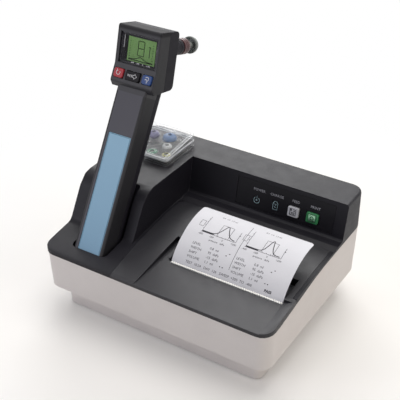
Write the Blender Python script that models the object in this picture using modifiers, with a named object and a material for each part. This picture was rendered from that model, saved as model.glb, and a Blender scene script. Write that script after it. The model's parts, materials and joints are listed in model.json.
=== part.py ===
# Portable tympanometer: a hand-held probe standing in its charging and printing base.
# Metres, +Z up, +Y to the rear. The origin is the middle of the bounding box, at the feet.
import math

import bmesh
import bpy
from mathutils import Matrix, Vector

# Clearances and cutting overruns
FIT_GAP = 0.0003
RUN_GAP = 0.0001
OVERRUN = 0.02
BLEND_SINK = 0.001

# Base: outline and heights above the underside of the plinth. The paper sets the width
PAPER_WIDTH = 0.110
PAPER_LEFT_X = 0.112
PAPER_MARGIN = 0.010
BASE_WIDTH = PAPER_LEFT_X + PAPER_WIDTH + PAPER_MARGIN
BASE_DEPTH = 0.178
BASE_TOP = 0.1095
BASE_CORNER = 0.012
BASE_WALL = 0.003
BODY_DRAFT = 0.0015
PLINTH_HEIGHT = 0.0235
PLINTH_SIDE_INSET = 0.014
PLINTH_FRONT_INSET = 0.0135
PLINTH_CORNER = 0.006
PARTING_FRONT = 0.0587
PARTING_RISE = 0.0135
SKIRT_HEIGHT = 0.0045
DECK_RISE = 0.0111
RIM_ROUND = 0.0012

# Shares of the base depth and of the rise, from front to rear
parting_shares = [(0.0, 0.0), (0.11, 0.14), (0.28, 0.47), (0.45, 0.81), (0.56, 0.93), (1.0, 1.0)]
deck_shares = [
    (0.0, 0.0), (0.017, 0.085), (0.112, 0.30), (0.253, 0.57), (0.393, 0.79),
    (0.506, 0.93), (0.663, 1.0), (1.0, 1.0),
]

# Arm that carries the probe, tower with the keys, and the ledge under it
ARM_WIDTH = 0.0705
ARM_FOOT_Y = 0.042
ARM_FOOT_FILLET = 0.008
ARM_TOP_ROUND = 0.02
TOWER_FOOT_Y = 0.1349
TOWER_LEAN = math.radians(12.5)
TOWER_FILLET = 0.003
EDGE_ROUND = 0.0022
LEDGE_DEPTH = 0.0094
LEDGE_RISE = 0.0008
LIP_RUN = 0.0063
LIP_DROP = 0.0024

# Seam between the two dark covers: distances from the left side of the base
SEAM_FRONT_X = 0.0774
SEAM_FOOT_X = 0.0734
SEAM_REAR_X = 0.0726
SEAM_CORNER = 0.005
HINGE_GAP = 0.0016
SIDE_RIM_WIDTH = 0.0035
SIDE_RIM_FRONT_Y = 0.048

# Probe: its place in the base and its handle
PROBE_LEAN = math.radians(31)
PROBE_X = 0.0408
PROBE_FRONT_Y = 0.0175
PROBE_DECK_Z = 0.070
PROBE_SEAT_DEPTH = 0.020
HEAD_WIDTH = 0.045
HANDLE_WIDTH = 0.0312
HANDLE_DEPTH = 0.0284
HANDLE_TOP = 0.143
HANDLE_FRONT_ROUND = 0.0018
HANDLE_REAR_ROUND = 0.0055
HANDLE_SPLIT = 0.018
PROBE_WALL = 0.0025
HANDLE_END = 0.155
CRADLE_SIDE_GAP = 0.0034
CRADLE_FRONT_GAP = 0.0005
CRADLE_REAR_GAP = 0.0008
CRADLE_CORNER = 0.004
CRADLE_WALL = 0.0018

# Probe head, in a frame tilted forward from the handle
HEAD_TILT = math.radians(15.5)
HEAD_FOOT = 0.1627
HEAD_STEP = 0.003
HEAD_DEPTH = 0.0288
FACET_HEIGHT = 0.0344
STRIP_HEIGHT = 0.0158
CHIN_DROP = 0.0203
HEAD_DROP = 0.0182
HEAD_SPLIT = 0.0145
HEAD_FRONT_ROUND = 0.0022
HEAD_REAR_ROUND = 0.0045
HEAD_SIDE_ROUND = 0.0018

# Display window and the module behind it
WINDOW_WIDTH = HEAD_WIDTH - 0.0065
WINDOW_HEIGHT = 0.0268
WINDOW_SHIFT = 0.0003
WINDOW_FOOT = 0.0014
WINDOW_THICKNESS = 0.0008
WINDOW_SINK = 0.0006
WINDOW_LEDGE = 0.0012
LCD_WIDTH = WINDOW_WIDTH - 0.0095
LCD_HEIGHT = 0.0214
LCD_SHIFT = 0.003
DISPLAY_BOARD_THICKNESS = 0.0016

# Keys on the probe
KEY_HEIGHT = 0.0084
KEY_WIDTH = 0.0098
ARROW_KEY_WIDTH = 0.015
KEY_PITCH = HEAD_WIDTH / 3
KEY_MIDDLE = 0.1546
KEY_PROUD = 0.0018
KEY_TRAVEL = 0.0012
KEY_FLANGE = 0.0009

# Nose and ear tip
NOSE_HEIGHT = 0.0125
NOSE_LENGTH = 0.0372
NOSE_ROOT_RADIUS = 0.0088
NOSE_END_RADIUS = 0.0072
COLLAR_LENGTH = 0.0096
COLLAR_RADIUS = 0.0076
CONE_LENGTH = 0.0165
CONE_ROOT_RADIUS = 0.0056
CONE_END_RADIUS = 0.0022
CONE_BORE_RADIUS = 0.0009
CONE_BORE_DEPTH = 0.009
CONE_NECK_SHARE = 0.24
NOSE_SPIGOT_RADIUS = 0.0036
NOSE_SPIGOT_LENGTH = 0.0024
EAR_TIP_RADIUS = 0.0082
EAR_TIP_LENGTH = 0.0125
TIP_SHOULDER_SHARE = 0.37

# Label panel on the handle
LABEL_WIDTH = 0.0236
LABEL_SHIFT = 0.0007
LABEL_TOP = 0.1025
LABEL_THICKNESS = 0.0005
LABEL_SINK = 0.0002

# Inside the probe
BATTERY_DEPTH = 0.017
BATTERY_LENGTH = 0.068
BATTERY_ROUND = 0.003
PROBE_BOARD_LENGTH = 0.066
PROBE_BOARD_THICKNESS = 0.0016
PROBE_BOARD_DEPTH = 0.006
PUMP_RADIUS = 0.0068
PUMP_LENGTH = 0.026
PAD_RADIUS = 0.003
PAD_PITCH = 0.016
PAD_DEPTH = 0.009
PIN_RADIUS = 0.0014
PIN_HEAD_RADIUS = 0.0024
PIN_LENGTH = 0.009

# Printer cover, its ramp and the paper outlet: distances from the left side of the base
RAMP_LEFT_X = 0.101
RAMP_RIGHT_X = BASE_WIDTH - 0.0094
RAMP_REAR_Y = 0.0695
RAMP_RISE = 0.0022
COVER_WALL = 0.0024
COVER_SKIRT = 0.0085
CREASE_X = BASE_WIDTH - 0.012
CREASE_RIM_X = BASE_WIDTH - 0.001
OUTLET_LEFT_X = 0.1095
OUTLET_FRONT_Y = 0.0423
GUIDE_THICKNESS = 0.0016
TEAR_BAR_DEPTH = 0.0016
TEAR_BAR_HEIGHT = 0.0024
TEAR_BAR_PROUD = 0.0008
TEAR_TOOTH_PITCH = 0.0022
TEAR_TOOTH_HEIGHT = 0.0009
PAPER_THICKNESS = 0.0003
PAPER_END_CORNER = 0.006
PAPER_ARCH_LENGTH = 0.055
PAPER_ARCH_RISE = 0.0265
PAPER_TAIL = 0.0085

# Shares of the arch length and rise of the printed strip
paper_shares = [
    (0.0, 0.0), (0.06, 0.21), (0.19, 0.48), (0.34, 0.69), (0.48, 0.84),
    (0.66, 0.955), (0.83, 1.0), (1.0, 0.997),
]

# Hinge of the printer cover
HINGE_SETBACK = 0.012
HINGE_DROP = 0.0051
HINGE_PIN_RADIUS = 0.0012
HINGE_EYE_RADIUS = 0.0024
HINGE_POST_RADIUS = 0.0022
HINGE_EAR_WIDTH = 0.003

# Printer works
CHEEK_THICKNESS = 0.002
CHEEK_CLEARANCE = 0.0018
CHEEK_TOP = 0.058
CHEEK_REAR_TOP = 0.0515
FRAME_FLOOR = 0.0018
FRAME_FRONT_Y = 0.034
FRAME_REAR_Y = 0.112
PLATEN_Y = 0.0505
PLATEN_Z = 0.049
PLATEN_RADIUS = 0.007
SHAFT_RADIUS = 0.002
PRINT_HEAD_DEPTH = 0.0045
PRINT_HEAD_HEIGHT = 0.012
ROLL_Y = 0.085
ROLL_Z = 0.0470
ROLL_RADIUS = 0.0175
ROLL_BORE_RADIUS = 0.006
SPINDLE_RADIUS = 0.0056
SPINDLE_END_RADIUS = 0.003
GEAR_MODULE = 0.0008
PLATEN_GEAR_TEETH = 24
MOTOR_GEAR_TEETH = 12
GEAR_WIDTH = 0.003
GEAR_BACKLASH_SHARE = 0.36
GEAR_ADDENDUM_SHARE = 0.85
GEAR_DEDENDUM_SHARE = 1.15
MOTOR_RADIUS = 0.0055
MOTOR_LENGTH = 0.022
MOTOR_SHAFT_RADIUS = 0.001
MOTOR_SHAFT_LENGTH = 0.009

# Control panel, in the frame of the tower's face
PANEL_LEFT_X = 0.1215
PANEL_RIGHT_X = BASE_WIDTH - 0.0111
PANEL_FOOT = 0.0035
PANEL_TOP = 0.0311
PANEL_THICKNESS = 0.0014
PANEL_LEDGE = 0.0015
PANEL_SINK = 0.0004
PANEL_BOARD_GAP = 0.0042
PANEL_BOARD_THICKNESS = 0.0016
PANEL_PEG_RADIUS = 0.002
PUSH_WIDTH = 0.0125
PUSH_HEIGHT = 0.0098
PUSH_PROUD = 0.0014
PUSH_TRAVEL = 0.001
PUSH_FLANGE = 0.0011
PUSH_MIDDLE = 0.0129
LAMP_MIDDLE = 0.0129
LAMP_RADIUS = 0.0036
CHARGE_LAMP_WIDTH = 0.006
CHARGE_LAMP_HEIGHT = 0.0086

# Places along the panel, as shares of its width
panel_shares = {
    "power_lamp": 0.2153, "charge_lamp": 0.4105, "feed_button": 0.5986, "print_button": 0.7897,
}

# Ear-tip box on top of the arm: distances from the left side and the front of the base
BOX_LEFT_X = 0.011
BOX_FRONT_Y = 0.112
BOX_SIDE = 0.050
BOX_TRAY_HEIGHT = 0.0052
BOX_LID_FRONT = 0.0075
BOX_LID_REAR = 0.012
BOX_WALL = 0.0013
BOX_CORNER = 0.003
BOX_KNUCKLE_RADIUS = 0.0018
BOX_PIN_RADIUS = 0.0007
BOX_KNUCKLE_SHARE = 0.24
BOX_KNUCKLE_INSET = 0.0042
WELL_GAP = 0.0008
WELL_WALL = 0.0008
WELL_HEIGHT = 0.0022

# Spare ear tips: name, radius, height, and place as shares of the box side
tip_shares = {
    "spare_tip_blue": (0.140, 0.150, 0.54, 0.80),
    "spare_tip_white": (0.104, 0.120, 0.69, 0.485),
    "spare_tip_green": (0.130, 0.095, 0.55, 0.19),
    "spare_tip_purple": (0.110, 0.140, 0.20, 0.76),
    "spare_tip_yellow": (0.100, 0.095, 0.845, 0.22),
}

# Feet, base plate, boards and sockets
FOOT_RADIUS = 0.007
FOOT_PROUD = 0.0015
FOOT_RECESS = 0.001
FOOT_MARGIN = 0.0125
PLATE_MARGIN = 0.012
PLATE_LEFT_X = 0.118
PLATE_THICKNESS = 0.0022
BOARD_LENGTH = 0.088
BOARD_WIDTH = 0.072
BOARD_THICKNESS = 0.0016
BOARD_LEFT_MARGIN = 0.006
BOARD_REAR_MARGIN = 0.006
BOARD_BOSS_HEIGHT = 0.004
BOARD_BOSS_RADIUS = 0.003
BOARD_BOSS_INSET = 0.006
INLET_X = 0.058
INLET_Z = 0.040
INLET_RADIUS = 0.0048
INLET_FLANGE_RADIUS = 0.0064
INLET_LENGTH = 0.011
INLET_BORE_RADIUS = 0.0029
INLET_BORE_DEPTH = 0.0085
INLET_PIN_RADIUS = 0.0009
INLET_FLANGE = 0.0012

# Derived places that several pieces share
HALF_WIDTH = BASE_WIDTH / 2
RIM_FRONT = PARTING_FRONT + SKIRT_HEIGHT
FLOOR_TOP = BASE_WALL
HEAD_HALF = HEAD_WIDTH / 2
NOSE_END = HEAD_DEPTH + NOSE_LENGTH
EAR_TIP_END = NOSE_END + COLLAR_LENGTH + CONE_LENGTH + 4 * FIT_GAP
HEAD_LEAN = PROBE_LEAN - HEAD_TILT
HEAD_Y = PROBE_FRONT_Y + HEAD_FOOT * math.sin(PROBE_LEAN) - HEAD_STEP * math.cos(PROBE_LEAN)
NOSE_REACH_Y = (
    HEAD_Y
    + NOSE_HEIGHT * math.sin(HEAD_LEAN)
    + EAR_TIP_END * math.cos(HEAD_LEAN)
    + EAR_TIP_RADIUS * math.sin(HEAD_LEAN) * TIP_SHOULDER_SHARE
)
TOTAL_DEPTH = max(BASE_DEPTH, NOSE_REACH_Y)
PROBE_SEAT = -PROBE_SEAT_DEPTH
HINGE_REAR_Y = (
    TOWER_FOOT_Y - LEDGE_DEPTH - LIP_RUN - HINGE_GAP
)


# Materials

def material(name, colour, roughness, metallic=0.0, alpha=1.0):
    made = bpy.data.materials.new(name)
    made.use_nodes = True
    shader = made.node_tree.nodes["Principled BSDF"]
    shader.inputs["Base Color"].default_value = (*colour, 1.0)
    shader.inputs["Roughness"].default_value = roughness
    shader.inputs["Metallic"].default_value = metallic
    shader.inputs["Alpha"].default_value = alpha
    return made


# Scene set-up

def empty_scene():
    for obj in list(bpy.data.objects):
        bpy.data.objects.remove(obj, do_unlink=True)


def new_collection(name):
    made = bpy.data.collections.new(name)
    bpy.context.scene.collection.children.link(made)
    return made


def frame_empty(name, location, lean=0.0, parent=None):
    made = bpy.data.objects.new(name, None)
    made.location = location
    made.rotation_euler = (-lean, 0.0, 0.0)
    made.parent = parent
    parts.objects.link(made)
    return made


# Outlines and solids

def height_at(shares, y, low, rise):
    """Height of a profile of shares at the distance y behind the front of the base."""
    share = min(max(y / BASE_DEPTH, 0.0), 1.0)
    for (y0, z0), (y1, z1) in zip(shares, shares[1:]):
        if share <= y1:
            return low + rise * (z0 + (z1 - z0) * (share - y0) / (y1 - y0))
    return low + rise * shares[-1][1]


def parting_z(y):
    return height_at(parting_shares, y, PARTING_FRONT, PARTING_RISE)


def deck_z(y):
    return height_at(deck_shares, y, RIM_FRONT, DECK_RISE)


def ramp_z(y):
    return RIM_FRONT + RAMP_RISE * y / OUTLET_FRONT_Y


def rounded(corners, step=math.radians(24)):
    """Outline whose corners (a, b, radius) are turned into arcs."""
    points = []
    count = len(corners)
    for index, (a, b, radius) in enumerate(corners):
        here = Vector((a, b))
        if not radius:
            points.append(here)
            continue
        before = (Vector(corners[index - 1][:2]) - here).normalized()
        after = (Vector(corners[(index + 1) % count][:2]) - here).normalized()
        angle = before.angle(after)
        middle = here + (before + after).normalized() * radius / math.sin(angle / 2)
        start = here + before * radius / math.tan(angle / 2) - middle
        turn = start.angle_signed(here + after * radius / math.tan(angle / 2) - middle)
        steps = max(2, round(abs(turn) / step))
        for number in range(steps + 1):
            spun = -turn * number / steps
            points.append(middle + Matrix.Rotation(spun, 2) @ start)
    return points


def show(obj, name, finish, parent):
    """Names the finished piece, gives it its material and puts it with the parts."""
    obj.name = name
    obj.data.name = name
    obj.data.materials.clear()
    obj.data.materials.append(finish)
    obj.parent = parent
    for holder in list(obj.users_collection):
        holder.objects.unlink(obj)
    parts.objects.link(obj)
    return obj


def tool(obj, parent):
    """Keeps a cutter or a joined shape out of the model."""
    obj.parent = parent
    obj.hide_render = True
    obj.display_type = "WIRE"
    for holder in list(obj.users_collection):
        holder.objects.unlink(obj)
    cutters.objects.link(obj)
    return obj


def combine(obj, other, operation, parent=None):
    """Boolean with another shape, which becomes a hidden tool beside the piece."""
    if not other.hide_render:
        tool(other, parent if parent is not None else obj.parent)
    boolean = obj.modifiers.new(operation.title(), "BOOLEAN")
    boolean.operation = operation
    boolean.solver = "EXACT"
    boolean.object = other
    return obj


def mesh_object(name, shape, location=(0.0, 0.0, 0.0)):
    mesh = bpy.data.meshes.new(name)
    shape.to_mesh(mesh)
    shape.free()
    obj = bpy.data.objects.new(name, mesh)
    obj.location = location
    cutters.objects.link(obj)
    return obj


def box(low, high, corner=0.0, edge=0.0, segments=3):
    """Block between two corners; corner rounds its upright edges, edge the top and bottom ones."""
    low = Vector(low)
    high = Vector(high)
    size = high - low
    shape = bmesh.new()
    bmesh.ops.create_cube(shape, size=1)
    bmesh.ops.scale(shape, vec=size, verts=shape.verts)
    if corner:
        upright = [e for e in shape.edges if abs(e.verts[0].co.z - e.verts[1].co.z) > size.z / 2]
        bmesh.ops.bevel(shape, geom=upright, offset=corner, segments=segments,
                        profile=0.5, affect="EDGES")
    if edge:
        level = [e for e in shape.edges if abs(e.verts[0].co.z - e.verts[1].co.z) < size.z / 2]
        bmesh.ops.bevel(shape, geom=level, offset=edge, segments=2, profile=0.5, affect="EDGES")
    return mesh_object("box", shape, (low + high) / 2)


turns = {
    "X": Matrix(((0, 0, 1, 0), (1, 0, 0, 0), (0, 1, 0, 0), (0, 0, 0, 1))),
    "Y": Matrix(((1, 0, 0, 0), (0, 0, -1, 0), (0, 1, 0, 0), (0, 0, 0, 1))),
    "Z": Matrix.Identity(4),
}


def prism(outline, axis, low, high, end_round=0.0):
    """Outline extruded along an axis. Its points are (y, z) for X, (x, z) for Y, (x, y) for Z."""
    curve = bpy.data.curves.new("outline", "CURVE")
    curve.dimensions = "2D"
    curve.fill_mode = "BOTH"
    curve.extrude = (high - low) / 2
    spline = curve.splines.new("POLY")
    spline.points.add(len(outline) - 1)
    for point, place in zip(spline.points, outline):
        point.co = (place[0], place[1], 0.0, 1.0)
    spline.use_cyclic_u = True
    drawn = bpy.data.objects.new("outline", curve)
    bpy.context.scene.collection.objects.link(drawn)
    depsgraph = bpy.context.evaluated_depsgraph_get()
    mesh = bpy.data.meshes.new_from_object(drawn.evaluated_get(depsgraph))
    bpy.data.objects.remove(drawn)
    shape = bmesh.new()
    shape.from_mesh(mesh)
    bmesh.ops.remove_doubles(shape, verts=shape.verts, dist=FIT_GAP / 100)
    bmesh.ops.recalc_face_normals(shape, faces=shape.faces)
    bmesh.ops.dissolve_limit(shape, angle_limit=math.radians(1), verts=shape.verts,
                             edges=shape.edges)
    if end_round:
        ends = [e for e in shape.edges
                if all(abs(abs(v.co.z) - (high - low) / 2) < FIT_GAP / 10 for v in e.verts)]
        bmesh.ops.bevel(shape, geom=ends, offset=end_round, segments=2, profile=0.5,
                        affect="EDGES", clamp_overlap=True)
    bmesh.ops.transform(shape, matrix=turns[axis], verts=shape.verts)
    middle = {"X": (1, 0, 0), "Y": (0, 1, 0), "Z": (0, 0, 1)}[axis]
    return mesh_object("prism", shape, Vector(middle) * (low + high) / 2)


def rod(start, length, radius, axis="X", sides=16):
    """Cylinder from a point along an axis."""
    shape = bmesh.new()
    bmesh.ops.create_cone(shape, cap_ends=True, segments=sides, radius1=radius,
                          radius2=radius, depth=length)
    obj = mesh_object("rod", shape)
    ways = {"X": (Vector((1, 0, 0)), (0, math.pi / 2, 0)),
            "Y": (Vector((0, 1, 0)), (-math.pi / 2, 0, 0)),
            "Z": (Vector((0, 0, 1)), (0, 0, 0))}
    way, turn = ways[axis]
    obj.location = Vector(start) + way * length / 2
    obj.rotation_euler = turn
    return obj


def turned(profile, location, axis="Z", sides=24):
    """Profile of (radius, height) points, from the top down, spun about an axis."""
    shape = bmesh.new()
    rim = [shape.verts.new((radius, 0.0, height)) for radius, height in profile]
    for first, second in zip(rim, rim[1:]):
        shape.edges.new((first, second))
    obj = mesh_object("turned", shape, location)
    screw = obj.modifiers.new("Screw", "SCREW")
    screw.steps = sides
    screw.render_steps = sides
    screw.use_merge_vertices = True
    screw.merge_threshold = 0.00001
    obj.rotation_euler = {"X": (0, math.pi / 2, 0), "Y": (-math.pi / 2, 0, 0), "Z": (0, 0, 0)}[axis]
    return obj


def move_origin(obj, point):
    """Sets a piece's origin on its joint without moving its shape."""
    shift = obj.matrix_basis.inverted() @ Vector(point)
    obj.data.transform(Matrix.Translation(-shift))
    obj.location = Vector(point)
    return obj


def footprint(inset, low, high):
    """Rounded rectangle of the base, drawn in from its sides by inset."""
    return box(
        (-HALF_WIDTH + inset, inset, low),
        (HALF_WIDTH - inset, BASE_DEPTH - inset, high),
        corner=max(BASE_CORNER - inset, FIT_GAP), segments=5,
    )


def above_parting(gap):
    """Everything above the parting surface, by the named gap."""
    line = [(share * BASE_DEPTH, parting_z(share * BASE_DEPTH) + gap) for share, _ in parting_shares]
    front = (-OVERRUN, line[0][1])
    rear = (BASE_DEPTH + OVERRUN, line[-1][1])
    top = BASE_TOP + OVERRUN
    outline = [front, *line[1:-1], rear, (rear[0], top), (-OVERRUN, top)]
    return prism(outline, "X", -HALF_WIDTH - OVERRUN, HALF_WIDTH + OVERRUN)


# Lower case, base plate and feet

def body_block(inset, low, high):
    """Tapered body of the lower case."""
    shape = bmesh.new()
    bmesh.ops.create_cube(shape, size=1)
    bmesh.ops.scale(shape, vec=(BASE_WIDTH - 2 * inset, BASE_DEPTH - 2 * inset, high - low),
                    verts=shape.verts)
    for vert in shape.verts:
        if vert.co.z < 0:
            vert.co.x -= math.copysign(BODY_DRAFT, vert.co.x)
            vert.co.y -= math.copysign(BODY_DRAFT, vert.co.y)
    upright = [e for e in shape.edges if abs(e.verts[0].co.z - e.verts[1].co.z) > (high - low) / 2]
    bmesh.ops.bevel(shape, geom=upright, offset=BASE_CORNER - inset, segments=5, profile=0.5,
                    affect="EDGES")
    return mesh_object("body", shape, (0.0, BASE_DEPTH / 2, (low + high) / 2))


def plinth_block(inset, low):
    side = HALF_WIDTH - PLINTH_SIDE_INSET - inset
    return box(
        (-side, PLINTH_FRONT_INSET + inset, low),
        (side, BASE_DEPTH - PLINTH_FRONT_INSET - inset, PLINTH_HEIGHT + BLEND_SINK),
        corner=PLINTH_CORNER - inset,
    )


def foot_places():
    side = HALF_WIDTH - PLINTH_SIDE_INSET - FOOT_MARGIN
    front = PLINTH_FRONT_INSET + FOOT_MARGIN
    rear = BASE_DEPTH - front
    return {
        "foot_front_left": (-side, front),
        "foot_front_right": (side, front),
        "foot_rear_left": (-side, rear),
        "foot_rear_right": (side, rear),
    }


def plate_corners():
    left = -HALF_WIDTH + PLATE_LEFT_X
    right = HALF_WIDTH - PLINTH_SIDE_INSET - FOOT_MARGIN - FOOT_RADIUS - PLATE_MARGIN
    front = PLINTH_FRONT_INSET + PLATE_MARGIN
    return (left, front), (right, BASE_DEPTH - front)


def board_corners():
    left = -HALF_WIDTH + PLINTH_SIDE_INSET + BASE_WALL + BOARD_LEFT_MARGIN
    rear = BASE_DEPTH - PLINTH_FRONT_INSET - BASE_WALL - BOARD_REAR_MARGIN
    return (left, rear - BOARD_LENGTH), (left + BOARD_WIDTH, rear)


def body_top():
    """Top of the tapered body before the parting surface trims it."""
    return PARTING_FRONT + PARTING_RISE + BASE_WALL


def make_lower_case():
    case = body_block(0.0, PLINTH_HEIGHT, body_top())
    show(case, "lower_case", pale_plastic, base_frame)
    combine(case, plinth_block(0.0, 0.0), "UNION")
    combine(case, above_parting(0.0), "DIFFERENCE")
    combine(case, body_block(BASE_WALL, PLINTH_HEIGHT + BASE_WALL, body_top() + BASE_WALL), "DIFFERENCE")
    well = plinth_block(BASE_WALL, FLOOR_TOP)
    combine(case, well, "DIFFERENCE")
    bridge = box(
        (-HALF_WIDTH + PLINTH_SIDE_INSET + BASE_WALL, PLINTH_FRONT_INSET + BASE_WALL,
         PLINTH_HEIGHT - BLEND_SINK),
        (HALF_WIDTH - PLINTH_SIDE_INSET - BASE_WALL, BASE_DEPTH - PLINTH_FRONT_INSET - BASE_WALL,
         PLINTH_HEIGHT + 2 * BASE_WALL),
        corner=PLINTH_CORNER - BASE_WALL,
    )
    combine(case, bridge, "DIFFERENCE")
    for x, y in foot_places().values():
        combine(case, rod((x, y, -OVERRUN), OVERRUN + FOOT_RECESS, FOOT_RADIUS + FIT_GAP, "Z", 20),
                "DIFFERENCE")
    (left, front), (right, rear) = plate_corners()
    combine(case, box((left, front, -OVERRUN), (right, rear, OVERRUN), corner=BATTERY_ROUND),
            "DIFFERENCE")
    (left, front), (right, rear) = board_corners()
    for x in (left + BOARD_BOSS_INSET, right - BOARD_BOSS_INSET):
        for y in (front + BOARD_BOSS_INSET, rear - BOARD_BOSS_INSET):
            boss = rod((x, y, FLOOR_TOP - BLEND_SINK), BOARD_BOSS_HEIGHT + BLEND_SINK,
                       BOARD_BOSS_RADIUS, "Z", 12)
            combine(case, boss, "UNION")
    hole = rod((-HALF_WIDTH + INLET_X, BASE_DEPTH - OVERRUN, INLET_Z), 2 * OVERRUN,
               INLET_RADIUS + FIT_GAP, "Y", 20)
    combine(case, hole, "DIFFERENCE")
    return case


def make_base_plate():
    (left, front), (right, rear) = plate_corners()
    plate = box((left + FIT_GAP, front + FIT_GAP, 0.0),
                (right - FIT_GAP, rear - FIT_GAP, PLATE_THICKNESS), corner=BATTERY_ROUND - FIT_GAP)
    return show(plate, "base_plate", dark_plastic, base_frame)


def make_feet():
    for name, (x, y) in foot_places().items():
        foot = turned(
            [(0.0, FOOT_PROUD + FOOT_RECESS - FIT_GAP),
             (FOOT_RADIUS, FOOT_PROUD + FOOT_RECESS - FIT_GAP),
             (FOOT_RADIUS, FOOT_PROUD / 3), (FOOT_RADIUS - FOOT_PROUD / 3, 0.0), (0.0, 0.0)],
            (x, y, -FOOT_PROUD), sides=20)
        show(foot, name, rubber, base_frame)


# Top cover: left deck, arm with its channel, tower and ledge

def seam_outline(side_gap, rear_gap):
    """Plan of the printer cover, drawn in from the seam, the side rim and the ledge by its gaps."""
    left = -HALF_WIDTH + side_gap
    rear = TOWER_FOOT_Y - LEDGE_DEPTH - LIP_RUN - rear_gap
    right = HALF_WIDTH + OVERRUN
    rim = HALF_WIDTH - SIDE_RIM_WIDTH - side_gap
    rim_front = SIDE_RIM_FRONT_Y - 2 * side_gap
    return rounded([
        (left + SEAM_FRONT_X, -OVERRUN, 0.0),
        (right, -OVERRUN, 0.0),
        (right, rim_front, 0.0),
        (rim, rim_front, 0.0),
        (rim, rear, 0.0),
        (left + SEAM_REAR_X, rear, SEAM_CORNER),
        (left + SEAM_REAR_X, ARM_FOOT_Y * 2, 0.0),
        (left + SEAM_FOOT_X, ARM_FOOT_Y, 0.0),
    ])


def arm_front_y(z):
    """Front face of the arm, which leans as the probe does."""
    return ARM_FOOT_Y + (z - deck_z(ARM_FOOT_Y)) * math.tan(PROBE_LEAN)


def tower_front_y(z):
    return TOWER_FOOT_Y + (z - tower_foot_z()) * math.tan(TOWER_LEAN)


def seam_top():
    """Level between the deck and the top of the tower, where the seam's cutter ends."""
    return (deck_z(BASE_DEPTH) + BASE_TOP) / 2


def tower_foot_z():
    return deck_z(BASE_DEPTH) + LEDGE_RISE


def air_over_arm(inset):
    """Everything above the left deck and in front of the arm, over the whole width."""
    top = BASE_TOP - inset
    slant = inset / math.cos(PROBE_LEAN)
    over = BASE_TOP + OVERRUN
    line = [(share * BASE_DEPTH, deck_z(share * BASE_DEPTH) - inset) for share, _ in deck_shares]
    tongue = [(y, z, 0.0) for y, z in line[1:] if y < ARM_FOOT_Y - ARM_FOOT_FILLET]
    foot_z = deck_z(ARM_FOOT_Y) - inset
    foot_y = ARM_FOOT_Y + slant - inset * math.tan(PROBE_LEAN)
    return prism(rounded([
        (-OVERRUN, line[0][1] + inset / 2, 0.0),
        (inset, line[0][1], RIM_ROUND),
        *tongue,
        (foot_y, foot_z, ARM_FOOT_FILLET),
        (arm_front_y(top) + slant, top, ARM_TOP_ROUND - inset),
        (BASE_DEPTH / 2, top, 0.0),
        (BASE_DEPTH / 2, over, 0.0),
        (-OVERRUN, over, 0.0),
    ]), "X", -HALF_WIDTH - OVERRUN, HALF_WIDTH + OVERRUN)


def air_over_printer(inset):
    """Everything above the deck right of the arm, up to the face of the tower."""
    top = BASE_TOP + OVERRUN
    foot = tower_foot_z() - inset
    slant = inset / math.cos(TOWER_LEAN)
    ledge_front = TOWER_FOOT_Y - LEDGE_DEPTH + inset
    lip_front = ledge_front - LIP_RUN
    start = ARM_FOOT_Y - ARM_FOOT_FILLET
    line = [(share * BASE_DEPTH, deck_z(share * BASE_DEPTH) - inset) for share, _ in deck_shares]
    deck = [(y, z, 0.0) for y, z in line if start < y < lip_front]
    return prism(rounded([
        (start, deck_z(start) - inset + FIT_GAP, 0.0),
        *deck,
        (lip_front, foot - LIP_DROP, RIM_ROUND / 2),
        (ledge_front, foot, RIM_ROUND),
        (tower_front_y(foot) + slant, foot, TOWER_FILLET),
        (tower_front_y(top) + slant, top, 0.0),
        (start, top, 0.0),
    ]), "X", -HALF_WIDTH + ARM_WIDTH - inset, HALF_WIDTH + 2 * OVERRUN)


def cover_form(inset, low):
    """Deck, arm and tower as one body, drawn in from the outer surface by inset."""
    form = box((-HALF_WIDTH + inset, inset, low),
               (HALF_WIDTH - inset, BASE_DEPTH - inset, BASE_TOP - inset),
               corner=BASE_CORNER - inset, edge=EDGE_ROUND, segments=5)
    return form


def cut_form(form, inset):
    combine(form, air_over_arm(inset), "DIFFERENCE", base_frame)
    combine(form, air_over_printer(inset), "DIFFERENCE", base_frame)
    return form


def cradle_box(side, front, rear, low, high, corner):
    """Block along the probe's axis, for the channel and for the walls around it."""
    half = HANDLE_WIDTH / 2 + side
    return box((-half, -front, low), (half, HANDLE_DEPTH + rear, high), corner=corner)


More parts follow.
